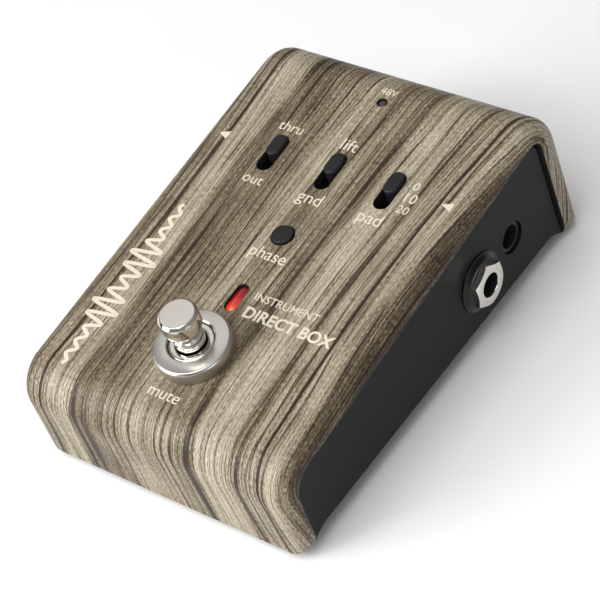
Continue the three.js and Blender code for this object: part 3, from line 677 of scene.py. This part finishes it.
BLACK = shade(30, 30, 32)
MATERIALS = {
    "wood_print": wood_print(),
    "black_paint": black_paint("satin_black_paint", 17, 0.46),
    "chrome": plated("chrome_plate", (0.72, 0.69, 0.64), 0.09),
    "brushed_chrome": brushed(
        "turned_chrome", (0.70, 0.68, 0.64), 0.24, FOOTSWITCH["collar_height"] - 0.9, wall_roughness=0.55
    ),
    "steel": plated("zinc_steel", (0.52, 0.51, 0.49), 0.34, 0.12),
    "brass": plated("gold_plated_brass", (0.78, 0.57, 0.24), 0.25),
    "black_plastic": moulded_plastic("black_moulding", BLACK, 0.42),
    "gloss_black": moulded_plastic("gloss_black_moulding", shade(8, 8, 8), 0.28),
    "switch_plastic": moulded_plastic("switch_moulding", shade(26, 26, 29), 0.5),
    "red_lens": red_window(),
    "dark_lens": moulded_plastic("smoked_lens", shade(60, 58, 55), 0.25),
    "label_ink": cream_ink(),
    "board_green": circuit_board(),
    "capacitor_sleeve": sleeve(),
    "rubber": rubber(),
    "battery_jacket": battery_wrap(),
    "red_cable": moulded_plastic("red_wire_jacket", shade(150, 24, 20), 0.4),
    "black_cable": moulded_plastic("black_wire_jacket", shade(22, 22, 22), 0.4),
    "inside_paint": black_paint("inside_black_paint", 34, 0.6),
}

# ---- cover

# The cover's side view is drawn down to here and trimmed off above the table afterwards.
BELOW = -75


def wedge(
    inwards=0.0, front=0.0, rear=0.0, top=0.0,
    front_bend=COVER["front_bend"], rear_bend=COVER["rear_bend"], step=6,
):
    """The side view of the cover in the deck frame, anticlockwise from the front foot, moved inwards."""
    front, rear, top = front + inwards, rear + inwards, top + inwards

    def front_at(z):
        return FRONT + front + COVER["front_lean"] * z

    return rounded([
        (front_at(BELOW), BELOW, 0), (REAR - rear, BELOW, 0),
        (REAR - rear, -top, rear_bend - inwards), (front_at(-top), -top, front_bend - inwards),
    ], step=step)


def side_loft(name, sections):
    """A loft across the deck frame; each section is (x, side outline)."""
    return loft(name, [[(x, y, z) for y, z in outline] for x, outline in sections], DECK)


def cover_block(inwards=0.0):
    """The cover's outer shape with both long edges rounded, or the same shape moved inwards."""
    edge, steps = COVER["edge_round"] - inwards, 14
    straight = HALF_WIDTH - COVER["edge_round"]
    sections = []
    for k in range(steps + 1):
        turn = math.pi / 2 * (1 - k / steps)
        outline = wedge(inwards + edge * (1 - math.cos(turn)))
        sections.append((straight + edge * math.sin(turn), outline))
    mirrored = [(-x, outline) for x, outline in sections]
    return side_loft("cover_block", mirrored + sections[::-1])


def lower_trim():
    """The block that is kept of the cover: it ends above the table, with rounded lower corners."""
    corner = COVER["corner_round"]
    outline = rounded([
        (-HALF_WIDTH, 0, corner), (HALF_WIDTH, 0, corner), (HALF_WIDTH, 80, 0), (-HALF_WIDTH, 80, 0),
    ])
    turn = Matrix.Rotation(-COVER["undercut"], 4, "X")
    up = turn.col[2].xyz
    place = Matrix.Translation(up * reach("top_cover", up)[0]) @ turn
    return loft("lower_trim", [[(x, y, z) for x, z in outline] for y in (-90, 90)], place)


def cover_cavity():
    reach_x = HALF_WIDTH - COVER["rib"]
    hollow = wedge(COVER["wall"])
    return side_loft("cover_cavity", [(-reach_x, hollow), (reach_x, hollow)])


def side_opening():
    """The cover's openings on both sides; they widen outwards, which rounds the cover's rim."""
    lip, steps = COVER["lip"], 5
    sections = []
    for k in range(steps):
        turn = math.pi / 2 * k / steps
        outline = wedge(-lip * (1 - math.cos(turn)), **OPENING)
        sections.append((HALF_WIDTH - lip * (1 - math.sin(turn)), outline))
    sections += [(HALF_WIDTH + beyond, wedge(-lip, **OPENING)) for beyond in (CLEAR, 5)]
    mirrored = [(-x, outline) for x, outline in sections[::-1]]
    return side_loft("side_opening", mirrored + sections)


def hole_cutter(name, outline_at):
    """A cutter through the deck whose top flares out, which rounds the edge of the hole."""
    levels = [(0, -8)]
    steps = 3
    for k in range(steps):
        turn = math.pi / 2 * k / steps
        levels.append((HOLE_LIP * (1 - math.cos(turn)), -HOLE_LIP * (1 - math.sin(turn))))
    levels += [(HOLE_LIP, CLEAR), (HOLE_LIP, 3)]
    return loft(name, [[(x, y, z) for x, y in outline_at(grow)] for grow, z in levels], DECK)


def slot_centre(knob):
    """A slider's slot centre: its knob rests at the rear end of the slot."""
    travel = JOINTS[knob.replace("_switch_knob", "_slide")]["range_m"][1] / MM
    spot = on_deck(knob)
    return spot.x, spot.y - travel / 2


KNOBS = ("output_switch_knob", "ground_switch_knob", "pad_switch_knob")


def oblong_hole(name, length, width, x, y):
    return hole_cutter(name, lambda grow: oblong(length + 2 * grow, width + 2 * grow, x, y))


def round_hole(node, radius):
    spot = on_deck(node)
    return hole_cutter(node + "_hole", lambda grow: circle(radius + grow, spot.x, spot.y))


def deck_holes():
    lens = on_deck("mute_lens")
    holes = [oblong_hole("slot", SLOT["length"], SLOT["width"], *slot_centre(knob)) for knob in KNOBS]
    holes.append(oblong_hole("lens_hole", LENS["hole_length"], LENS["hole_width"], lens.x, lens.y))
    holes.append(round_hole("phase_button", PHASE["hole"]))
    holes.append(round_hole("phantom_led", PHANTOM["hole"]))
    holes.append(round_hole("footswitch_plunger", FOOTSWITCH["hole"]))
    return holes


def rod(name, radius, bottom, top, place, sides=32):
    return turned(name, [(0, bottom), (radius, bottom), (radius, top), (0, top)], place, sides)


def cover_posts():
    """Posts inside the cover for the base screws and for the circuit board's screws, and their bores."""
    posts, bores = [], []
    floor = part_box("base_tray")[0].z / MM
    for i in range(1, 5):
        screw = f"base_screw_{i}"
        place = Matrix.Translation((middle(screw).x, middle(screw).y, 0))
        foot = max(floor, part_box(screw)[0].z / MM + POST["screw_head"])
        post = rod("post", POST["base_radius"], foot, 60, place)
        posts.append(combine(post, cover_block(COVER["wall"] / 2), "INTERSECT"))
        bores.append(rod("bore", POST["base_bore"], 0, foot + 8, place, 24))
    for i in range(1, 5):
        place = place_over(f"board_screw_{i}")
        posts.append(rod("post", POST["board_radius"], board_top() + 0.3, -1, place, 24))
        bores.append(rod("bore", POST["board_bore"], -20, -3.2, place, 20))
    return posts, bores


def board_top():
    """The height of the circuit board's upper face in the deck frame."""
    return (reach("main_board", NORMAL)[1] - DECK.translation.dot(NORMAL)) / MM


def side_line():
    """The side view's outer line from the front foot over the deck to the rear foot, in short steps."""
    outline = wedge(step=1)
    return np.array([tuple(point) for point in outline[1:] + outline[:1]])[::-1]


def near_line(line, spots):
    """For each spot the nearest segment of a line, the share along that segment, and the distance."""
    start, step = line[:-1], np.diff(line, axis=0)
    share = ((spots[:, None] - start) * step).sum(2) / (step ** 2).sum(1)
    share = np.clip(share, 0, 1)
    gap = np.linalg.norm(spots[:, None] - start - share[..., None] * step, axis=2)
    best = gap.argmin(1)
    rows = np.arange(len(spots))
    return best, share[rows, best], gap[rows, best]


def line_normals(line):
    """The outward normals at both ends of each segment: steady on straight runs, turning in the bends."""
    step = np.diff(line, axis=0)
    length = np.linalg.norm(step, axis=1)
    across = np.column_stack([-step[:, 1], step[:, 0]]) / length[:, None]
    straight = length > 2
    weight = np.where(straight, 1e6, 1.0)[:, None]
    joints = across[:-1] * weight[:-1] + across[1:] * weight[1:]
    joints = np.vstack([across[:1], joints / np.linalg.norm(joints, axis=1)[:, None], across[-1:]])
    return joints[:-1], joints[1:]


def lay_print(piece):
    """The print's own map and the cover's outer normals.

    The map's x runs across the deck and over its edges, and its y along the deck and down both bends.
    """
    mesh = piece.data
    line = side_line()
    to_deck = TO_DECK @ piece.matrix_world
    places = np.array([tuple((to_deck @ vertex.co) / MM) for vertex in mesh.vertices])
    best, share, inwards = near_line(line, places[:, 1:])
    length = np.concatenate([[0], np.cumsum(np.linalg.norm(np.diff(line, axis=0), axis=1))])
    first_on_deck = int(np.argmax(line[:, 1] > -1e-6))
    length += line[first_on_deck, 0] - length[first_on_deck]
    along = length[best] + share * np.diff(length)[best]

    edge = COVER["edge_round"]
    straight = HALF_WIDTH - edge
    side = np.sign(places[:, 0])
    over = np.clip((np.abs(places[:, 0]) - straight) / edge, 0, 1)
    wrapped = straight + edge * np.arcsin(over) + np.maximum(0, inwards - edge) * (over > 0.99)
    across = np.where(over > 0, side * wrapped, places[:, 0])
    layer = mesh.uv_layers.new(name="print")
    corners = np.array([loop.vertex_index for loop in mesh.loops])
    spots = np.column_stack([across[corners], along[corners]])
    layer.data.foreach_set("uv", spots.astype(np.float32).ravel())

    at_start, at_end = line_normals(line)
    profile = at_start[best] + (at_end - at_start)[best] * share[:, None]
    profile *= np.sqrt(1 - over ** 2)[:, None] / np.linalg.norm(profile, axis=1)[:, None]
    turn = np.array(to_deck.to_3x3().normalized())
    outer = (np.column_stack([side * over, profile]) @ turn)[corners]
    normals = np.array([tuple(normal.vector) for normal in mesh.corner_normals])
    for face in mesh.polygons:
        loops = slice(face.loop_start, face.loop_start + face.loop_total)
        if face.material_index == 0 and (outer[loops] @ np.array(face.normal)).min() > 0.75:
            normals[loops] = outer[loops]
    mesh.normals_split_custom_set([tuple(normal) for normal in normals])


def build_cover():
    cover = cover_block()
    cover.name = "cover_shell"
    cover.data.materials.append(MATERIALS["wood_print"])
    combine(cover, lower_trim(), "INTERSECT")
    posts, bores = cover_posts()
    hollows = [cover_cavity(), side_opening()]
    holes = bores + deck_holes()
    for tool in hollows + posts + holes:
        tool.data.materials.append(MATERIALS["inside_paint"])
    cut(cover, *hollows)
    for post in posts:
        combine(cover, post, "UNION")
    cut(cover, *holes)
    # The mesh leaves the deck frame, but stays in millimetres.
    cover.data.transform(cover.matrix_world)
    cover.matrix_world = Matrix.Identity(4)
    cover.data.transform(Matrix.Scale(1 / MM, 4))
    cover.matrix_world = Matrix.Scale(MM, 4)
    smooth(cover)
    lay_print(cover)
    settle(cover)
    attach(cover, "enclosure")
    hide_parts("top_cover")


# ---- footswitch


def build_footswitch():
    size = FOOTSWITCH
    place = place_over("footswitch_plunger")
    shaft, cap, top = size["shaft"], size["cap"], size["top"]
    neck = top - size["cap_height"]

    button = lathe("footswitch_button", [
        (0, -11.5, 0), (shaft, -11.5, 0.3), (shaft, 4.4, 0.1), (shaft + 0.3, 4.6, 0.1),
        (shaft + 0.3, 5.3, 0.2), (shaft - 0.15, 5.5, 0.1), (shaft - 0.15, 6.1, 0.1),
        (shaft + 0.3, 6.3, 0.2), (shaft + 0.3, 7.2, 0.2), (shaft - 0.1, 7.5, 0.2),
        (shaft - 0.1, neck - 1.2, 0.3), (cap - 1.1, neck - 0.9, 0.4), (cap - 0.4, neck - 0.1, 0.3),
        (cap, neck + 0.4, 0.3), (cap, top - 0.75, 0.25), (cap - 0.7, top - 0.02, 0.3), (0, top, 0),
    ], place, 128)
    finish_piece(smooth(button, 50), "chrome", "footswitch_plunger", body="footswitch")

    inside, outside, height = size["thread"] + 0.12, size["collar"], size["collar_height"]
    collar = lathe("footswitch_collar_ring", [
        (inside, 0.05, 0), (outside - 0.15, 0.05, 0), (outside, 0.25, 0),
        (outside, height - 0.9, 0.3), (outside - 0.5, height - 0.35, 0.25),
        (inside + 0.35, height, 0.15), (inside, height - 0.35, 0),
    ], place, 160)
    finish_piece(smooth(collar, 40), "chrome", "footswitch_collar", look="brushed_chrome")

    profile = threaded(size["bore"], size["thread"], -6.3, size["bush_top"], 0.75)
    bush = turned("footswitch_threaded_bush", profile, place, 96)
    finish_piece(smooth(bush, 50), "chrome", "footswitch_bush")


def threaded(bore, outer, bottom, top, pitch):
    """The profile of a bored bush with grooves like a thread on its outside and a rounded lip."""
    profile = [(bore, bottom), (outer - 0.35, bottom)]
    height = bottom + 0.3
    while height + pitch < top - 0.5:
        profile += [(outer, height + pitch * 0.25), (outer, height + pitch * 0.4)]
        profile.append((outer - 0.35, height + pitch * 0.9))
        height += pitch
    profile += [(outer, top - 0.45), (outer - 0.1, top - 0.15), (outer - 0.4, top), (bore + 0.5, top)]
    profile += [(bore + 0.12, top - 0.14), (bore, top - 0.5)]
    return profile


# ---- deck controls


def pill(name, length, width, bottom, top, edge, place, dome=0.0):
    """An oblong block with rounded upper edges and, if wanted, a domed top."""
    levels = [(0, bottom)]
    for k in range(6):
        turn = math.pi / 2 * k / 5
        levels.append((edge * (1 - math.cos(turn)), top - dome - edge * (1 - math.sin(turn))))
    for share in (0.35, 0.6, 0.8, 0.94) if dome > 0 else ():
        levels.append((edge + (width / 2 - edge) * share, top - dome * (1 - share) ** 2))
    rings = [[(x, y, z) for x, y in oblong(length - 2 * inset, width - 2 * inset)] for inset, z in levels]
    return loft(name, rings, place)


def build_sliders():
    foot, top = KNOB["top"] - KNOB["depth"], KNOB["top"]
    for knob in KNOBS:
        body = knob.replace("_switch_knob", "_slider")
        place = place_over(knob)
        cap = pill(body + "_cap", KNOB["length"], KNOB["width"], foot, top, KNOB["round"], place)
        finish_piece(smooth(cap, 40), "switch_plastic", knob, body=body)


def build_phase_button():
    radius, top = PHASE["radius"], PHASE["top"]
    cap = lathe("phase_cap", [
        (0, -PHASE["depth"], 0), (radius, -PHASE["depth"], 0), (radius, top - 0.12, 0.45),
        (0, top, 0),
    ], place_over("phase_button"), 96)
    finish_piece(smooth(cap, 40), "switch_plastic", "phase_button", body="phase")


def build_lamps():
    radius = PHANTOM["radius"]
    foot = board_top() + 0.2
    lamp = lathe("phantom_lamp", [
        (0, foot, 0), (1.6, foot, 0.1), (1.6, -4, 0.1), (radius, -3.9, 0), (radius, -0.35, 0.5),
        (0, -0.08, 0),
    ], place_over("phantom_led"), 64)
    finish_piece(smooth(lamp, 40), "dark_lens", "phantom_led")

    top, foot = LENS["top"], LENS["top"] - LENS["depth"] - 0.6
    place = place_over("mute_lens")
    window = pill("mute_window", LENS["length"], LENS["width"], foot, top, 0.5, place, dome=0.3)
    finish_piece(smooth(window, 60), "red_lens", "mute_lens")


# ---- side sockets


def build_jack(prefix):
    """The dark collar and the chrome nut of a jack socket."""
    name = prefix + "_jack_"
    low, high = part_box(name + "collar")
    centre = (low + high) / 2
    side = 1 if centre.x > 0 else -1
    base = min(abs(low.x), abs(high.x)) - JACK["sunk"] * MM
    place = standing((side * base, centre.y, centre.z), (side, 0, 0))
    height, clear = JACK["collar"], JACK["thread"] + 0.12

    collar = lathe(name + "bezel", [
        (clear, 0, 0), (JACK["base"], 0, 0), (JACK["base"], 0.38, 0.15),
        (JACK["base"] - 0.35, 0.5, 0.1), (JACK["tip"], height, 0.2),
        (JACK["tip"] - 0.5, height - 0.05, 0), (clear, height - 0.05, 0),
    ], place, 128)
    finish_piece(smooth(collar, 25), "black_plastic", name + "collar", look="gloss_black")

    corner = JACK["flats"] / math.sqrt(3)
    foot, tip = height + 0.02, height + JACK["nut"]
    turns = [math.pi / 3 * (k + 0.5) for k in range(6)]
    hexagon = [(corner * math.cos(t), corner * math.sin(t)) for t in turns]
    nut = loft(name + "hex_nut", [[(x, y, z) for x, y in hexagon] for z in (foot, tip)], place)
    chamfer = lathe("chamfer", [
        (0, foot - 1, 0), (corner + 0.2, foot - 1, 0), (corner + 0.2, tip - 0.6, 0),
        (JACK["flats"] / 2 - 0.1, tip, 0.25), (0, tip, 0),
    ], place, 128)
    combine(nut, chamfer, "INTERSECT")
    cut(nut, rod("bore", clear, 0, tip + 0.1, place, 96))
    finish_piece(smooth(nut, 30), "chrome", name + "nut")

    bush = lathe(name + "bush", [
        (JACK["bore"] + 0.05, tip - 1.3, 0), (clear - 0.02, tip - 1.3, 0),
        (clear - 0.02, tip - 0.01, 0.03), (JACK["bore"] + 0.05, tip - 0.01, 0.25),
    ], place, 96)
    finish_piece(smooth(bush, 30), "chrome")


# ---- underside


def build_feet():
    for i in range(1, 5):
        node = f"foot_{i}"
        low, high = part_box(node)
        centre = middle(node)
        radius, height = (high.x - low.x) / 2 / MM, (high.z - low.z) / MM
        foot = lathe(f"rubber_foot_{i}", [
            (0, 0.5, 0), (radius - 2.2, 0.5, 0.2), (radius - 1.9, 0, 0.2), (radius - 0.5, 0, 0.4),
            (radius, height, 0), (0, height, 0),
        ], Matrix.Translation((centre.x, centre.y, low.z)), 64)
        finish_piece(smooth(foot, 40), "rubber", node)


def build_screw(node, axis, head, height, shank):
    """A domed screw with a cross recess, whose head points along an axis."""
    low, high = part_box(node)
    axis = Vector(axis)
    length = abs((high - low).dot(axis)) / MM
    place = standing(middle(node) + axis * length / 2 * MM, axis)
    screw = lathe(node + "_domed", [
        (0, -length, 0), (shank, -length, 0.2), (shank, -height, 0), (head, -height, 0.1),
        (head, -height * 0.6, 0.3), (head * 0.55, -0.1, 1.2), (0, -0.02, 0),
    ], place, 64)
    arm = head * 0.58
    for angle in (25, 115):
        turn = Matrix.Rotation(math.radians(angle), 4, "Z")
        cut(screw, block("recess", (-arm, -0.3, -0.75), (arm, 0.3, 1), place @ turn, 0.08))
    finish_piece(smooth(screw), "steel", node)


def build_screws():
    for i in (1, 2):
        build_screw(f"balanced_socket_screw_{i}", (-1, 0, 0), head=2.3, height=1.18, shank=1.15)
    for i in range(1, 5):
        build_screw(f"base_screw_{i}", (0, 0, -1), head=2.7, height=1.6, shank=1.25)


# ---- printed labels

INK_HEIGHT = 0.02
WAVE = {"x": -30.8, "front": -57, "length": 53.5, "half_width": 0.52, "swings": 13, "steps": 420}


def label(words, x, y, width, weight=0.0, name=None):
    """Printed words centred at a point of the deck, as wide as given, in millimetres."""
    name = "label_" + (name or words.lower())
    curve = bpy.data.curves.new(name, "FONT")
    curve.body = words
    curve.align_x = curve.align_y = "CENTER"
    curve.size = 1
    curve.offset = weight
    text = add_object(name, curve, deck_place(x, y, INK_HEIGHT))
    bpy.context.view_layer.update()
    curve.size = width * MM / text.dimensions.x
    curve.offset = weight * curve.size
    curve.extrude = INK_HEIGHT / 4 * MM
    curve.resolution_u = 6
    curve.materials.append(MATERIALS["label_ink"])
    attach(text, "enclosure")


def build_labels():
    (left, slot_y), (centre, _), (right, _) = [slot_centre(knob) for knob in KNOBS]
    label("thru", left, slot_y + 9.0, 7.4)
    label("out", left, slot_y - 9.2, 6.0)
    label("lift", centre, slot_y + 9.0, 4.9)
    label("gnd", centre, slot_y - 9.4, 7.2)
    label("pad", right, slot_y - 9.4, 6.8)
    for k, number in enumerate(("0", "10", "20")):
        width = 1.6 if number == "0" else 3.2
        label(number, right + 5.8 + k * 0.3, slot_y + 3.4 - 3.8 * k, width, name="pad_" + number)
    label("phase", 0, on_deck("phase_button").y - 6.6, 10.8)
    label("mute", 0, on_deck("footswitch_plunger").y - 13.6, 9.2)
    label("48V", 0, on_deck("phantom_led").y + 3.6, 5.0)
    lens_y = on_deck("mute_lens").y
    label("INSTRUMENT", 13.8, lens_y + 2.1, 19.0, 0.006, "line_one")
    label("DIRECT BOX", 17.4, lens_y - 2.9, 26.4, 0.03, "line_two")


def build_marks():
    """A small arrow on each side of the slots, and a signal's wave along the left edge."""
    slot_y = slot_centre(KNOBS[0])[1]
    for name, tip in (("left_arrow", -36.5), ("right_arrow", 32.9)):
        corners = [(tip, slot_y + 1.0), (tip + 3.1, slot_y - 0.4), (tip + 3.1, slot_y + 2.3)]
        rings = [[(x, y, z) for x, y in corners] for z in (INK_HEIGHT / 2, INK_HEIGHT)]
        arrow = loft("printed_" + name, rings, DECK)
        finish_piece(arrow, "label_ink")

    line = []
    for k in range(WAVE["steps"] + 1):
        share = k / WAVE["steps"]
        swing = 0.5 + 4.9 * math.sin(math.pi * share) ** 1.3 * (0.62 + 0.38 * math.cos(6 * math.pi * share))
        x = WAVE["x"] + swing * math.sin(2 * math.pi * WAVE["swings"] * share)
        line.append(Vector((x, WAVE["front"] + WAVE["length"] * share)))
    bm = bmesh.new()
    edges = []
    for before, spot, after in zip(line[:1] + line, line, line[1:] + line[-1:]):
        ahead = (after - before).normalized()
        aside = Vector((-ahead.y, ahead.x)) * WAVE["half_width"]
        edges.append([bm.verts.new((*(spot + aside * sign), INK_HEIGHT)) for sign in (-1, 1)])
    for (a, b), (c, d) in zip(edges, edges[1:]):
        bm.faces.new((a, b, d, c))
    bmesh.ops.solidify(bm, geom=bm.faces[:], thickness=INK_HEIGHT / 2)
    finish_piece(new_piece("printed_wave", bm, DECK), "label_ink")


# ---- CAD nodes that stay


def crease_group():
    """Smooth shading with creases above 35 degrees, for a CAD node whose own mesh stays as it is."""
    group = bpy.data.node_groups.new("smooth_with_creases", "GeometryNodeTree")
    for side in ("INPUT", "OUTPUT"):
        group.interface.new_socket("Geometry", in_out=side, socket_type="NodeSocketGeometry")
    start, end, faces, edges, angle, steep = (group.nodes.new(kind) for kind in (
        "NodeGroupInput", "NodeGroupOutput", "GeometryNodeSetShadeSmooth", "GeometryNodeSetShadeSmooth",
        "GeometryNodeInputMeshEdgeAngle", "FunctionNodeCompare"))
    edges.domain = "EDGE"
    edges.inputs["Shade Smooth"].default_value = False
    steep.operation = "GREATER_THAN"
    steep.inputs[1].default_value = math.radians(35)
    group.links.new(start.outputs[0], faces.inputs["Geometry"])
    group.links.new(faces.outputs[0], edges.inputs["Geometry"])
    group.links.new(angle.outputs["Unsigned Angle"], steep.inputs[0])
    group.links.new(steep.outputs[0], edges.inputs["Selection"])
    group.links.new(edges.outputs[0], end.inputs[0])
    return group


# How wide the softened edges are where the usual 0.12 mm isn't right.
EDGE_WIDTHS = {
    "base_tray": 0.2, "battery_door": 0.2, "battery": 0.3, "balanced_socket_shell": 0.25,
    "main_board": 0.1,
}


def dress_cad_nodes():
    """Materials, softened edges and smooth shading for every CAD node that still shows."""
    creases = crease_group()
    for name, node in NODES.items():
        if node.hide_render:
            continue
        slot = node.data.materials[0].name.split(".")[0]
        node.data.materials.clear()
        node.data.materials.append(MATERIALS[slot])
        if "custom_normal" in node.data.attributes:
            node.data.attributes.remove(node.data.attributes["custom_normal"])
        weld = node.modifiers.new("weld", "WELD")
        weld.merge_threshold = 2e-6
        bevel = node.modifiers.new("soft edges", "BEVEL")
        bevel.width = EDGE_WIDTHS.get(name, 0.12) * MM
        bevel.segments = 2
        bevel.limit_method = "ANGLE"
        bevel.angle_limit = math.radians(40)
        bevel.use_clamp_overlap = True
        shading = node.modifiers.new("smooth shading", "NODES")
        shading.node_group = creases
        flatness = node.modifiers.new("flat faces stay flat", "WEIGHTED_NORMAL")
        flatness.keep_sharp = True


# ---- studio


def towards(azimuth, elevation):
    """A unit vector at these angles in degrees; azimuth 0 is straight ahead of the front."""
    a, e = math.radians(azimuth), math.radians(elevation)
    return Vector((math.sin(a) * math.cos(e), -math.cos(a) * math.cos(e), math.sin(e)))


def build_camera():
    aim = CENTRE + Vector(CAMERA["aim"]) * MM
    back = towards(CAMERA["azimuth"], CAMERA["elevation"])
    roll = math.radians(CAMERA["roll"])
    level_right = Vector((0, 0, 1)).cross(back).normalized()
    level_up = back.cross(level_right)
    right = level_right * math.cos(roll) + level_up * math.sin(roll)
    up = level_up * math.cos(roll) - level_right * math.sin(roll)
    turn = Matrix((right, up, back)).transposed().to_4x4()
    data = bpy.data.cameras.new("camera")
    data.lens = CAMERA["lens"]
    data.sensor_width = 36
    data.clip_start = 0.01
    place = Matrix.Translation(aim + back * CAMERA["distance"] * MM) @ turn
    bpy.context.scene.camera = add_object("camera", data, place)


def softbox(name, azimuth, elevation, distance, size, power, colour=(1, 1, 1)):
    """An area light that looks at the middle of the object."""
    back = towards(azimuth, elevation)
    data = bpy.data.lights.new(name, "AREA")
    data.shape = "RECTANGLE"
    data.size, data.size_y = size
    data.energy = power
    data.color = colour
    add_object(name, data, standing(CENTRE + back * distance, back))


def build_studio():
    bm = bmesh.new()
    bmesh.ops.create_grid(bm, x_segments=2, y_segments=2, size=3000)
    floor = new_piece("floor", bm)
    settle(floor)
    paper = Graph("pale_floor")
    paper.set(Base_Color=(0.95, 0.95, 0.95, 1), Roughness=0.9, Specular_IOR_Level=0.1)
    floor.data.materials.append(paper.owner)

    sky = Graph("studio", bpy.data.worlds, "Background")
    height = sky.split(sky.node("ShaderNodeTexCoord").outputs["Generated"])[2]
    sky.set(Color=(1, 1, 1, 1), Strength=sky.between(height, 0, 1, 0.08, 0.46))
    bpy.context.scene.world = sky.owner

    softbox("above", 5, 60, 0.9, (0.7, 0.7), 5.4)
    softbox("left", -36, 24, 0.9, (0.5, 0.6), 6.0)
    softbox("right", 70, 20, 1.0, (0.4, 0.4), 0.8)
    softbox("behind", -121, 52, 0.9, (0.5, 0.5), 0.4, (1, 0.97, 0.92))
    bpy.context.scene.view_settings.view_transform = "Standard"


# ---- assembly

build_camera()
build_cover()
build_footswitch()
build_sliders()
build_phase_button()
build_lamps()
build_jack("input")
build_jack("output")
build_feet()
build_screws()
build_labels()
build_marks()
dress_cad_nodes()
build_studio()
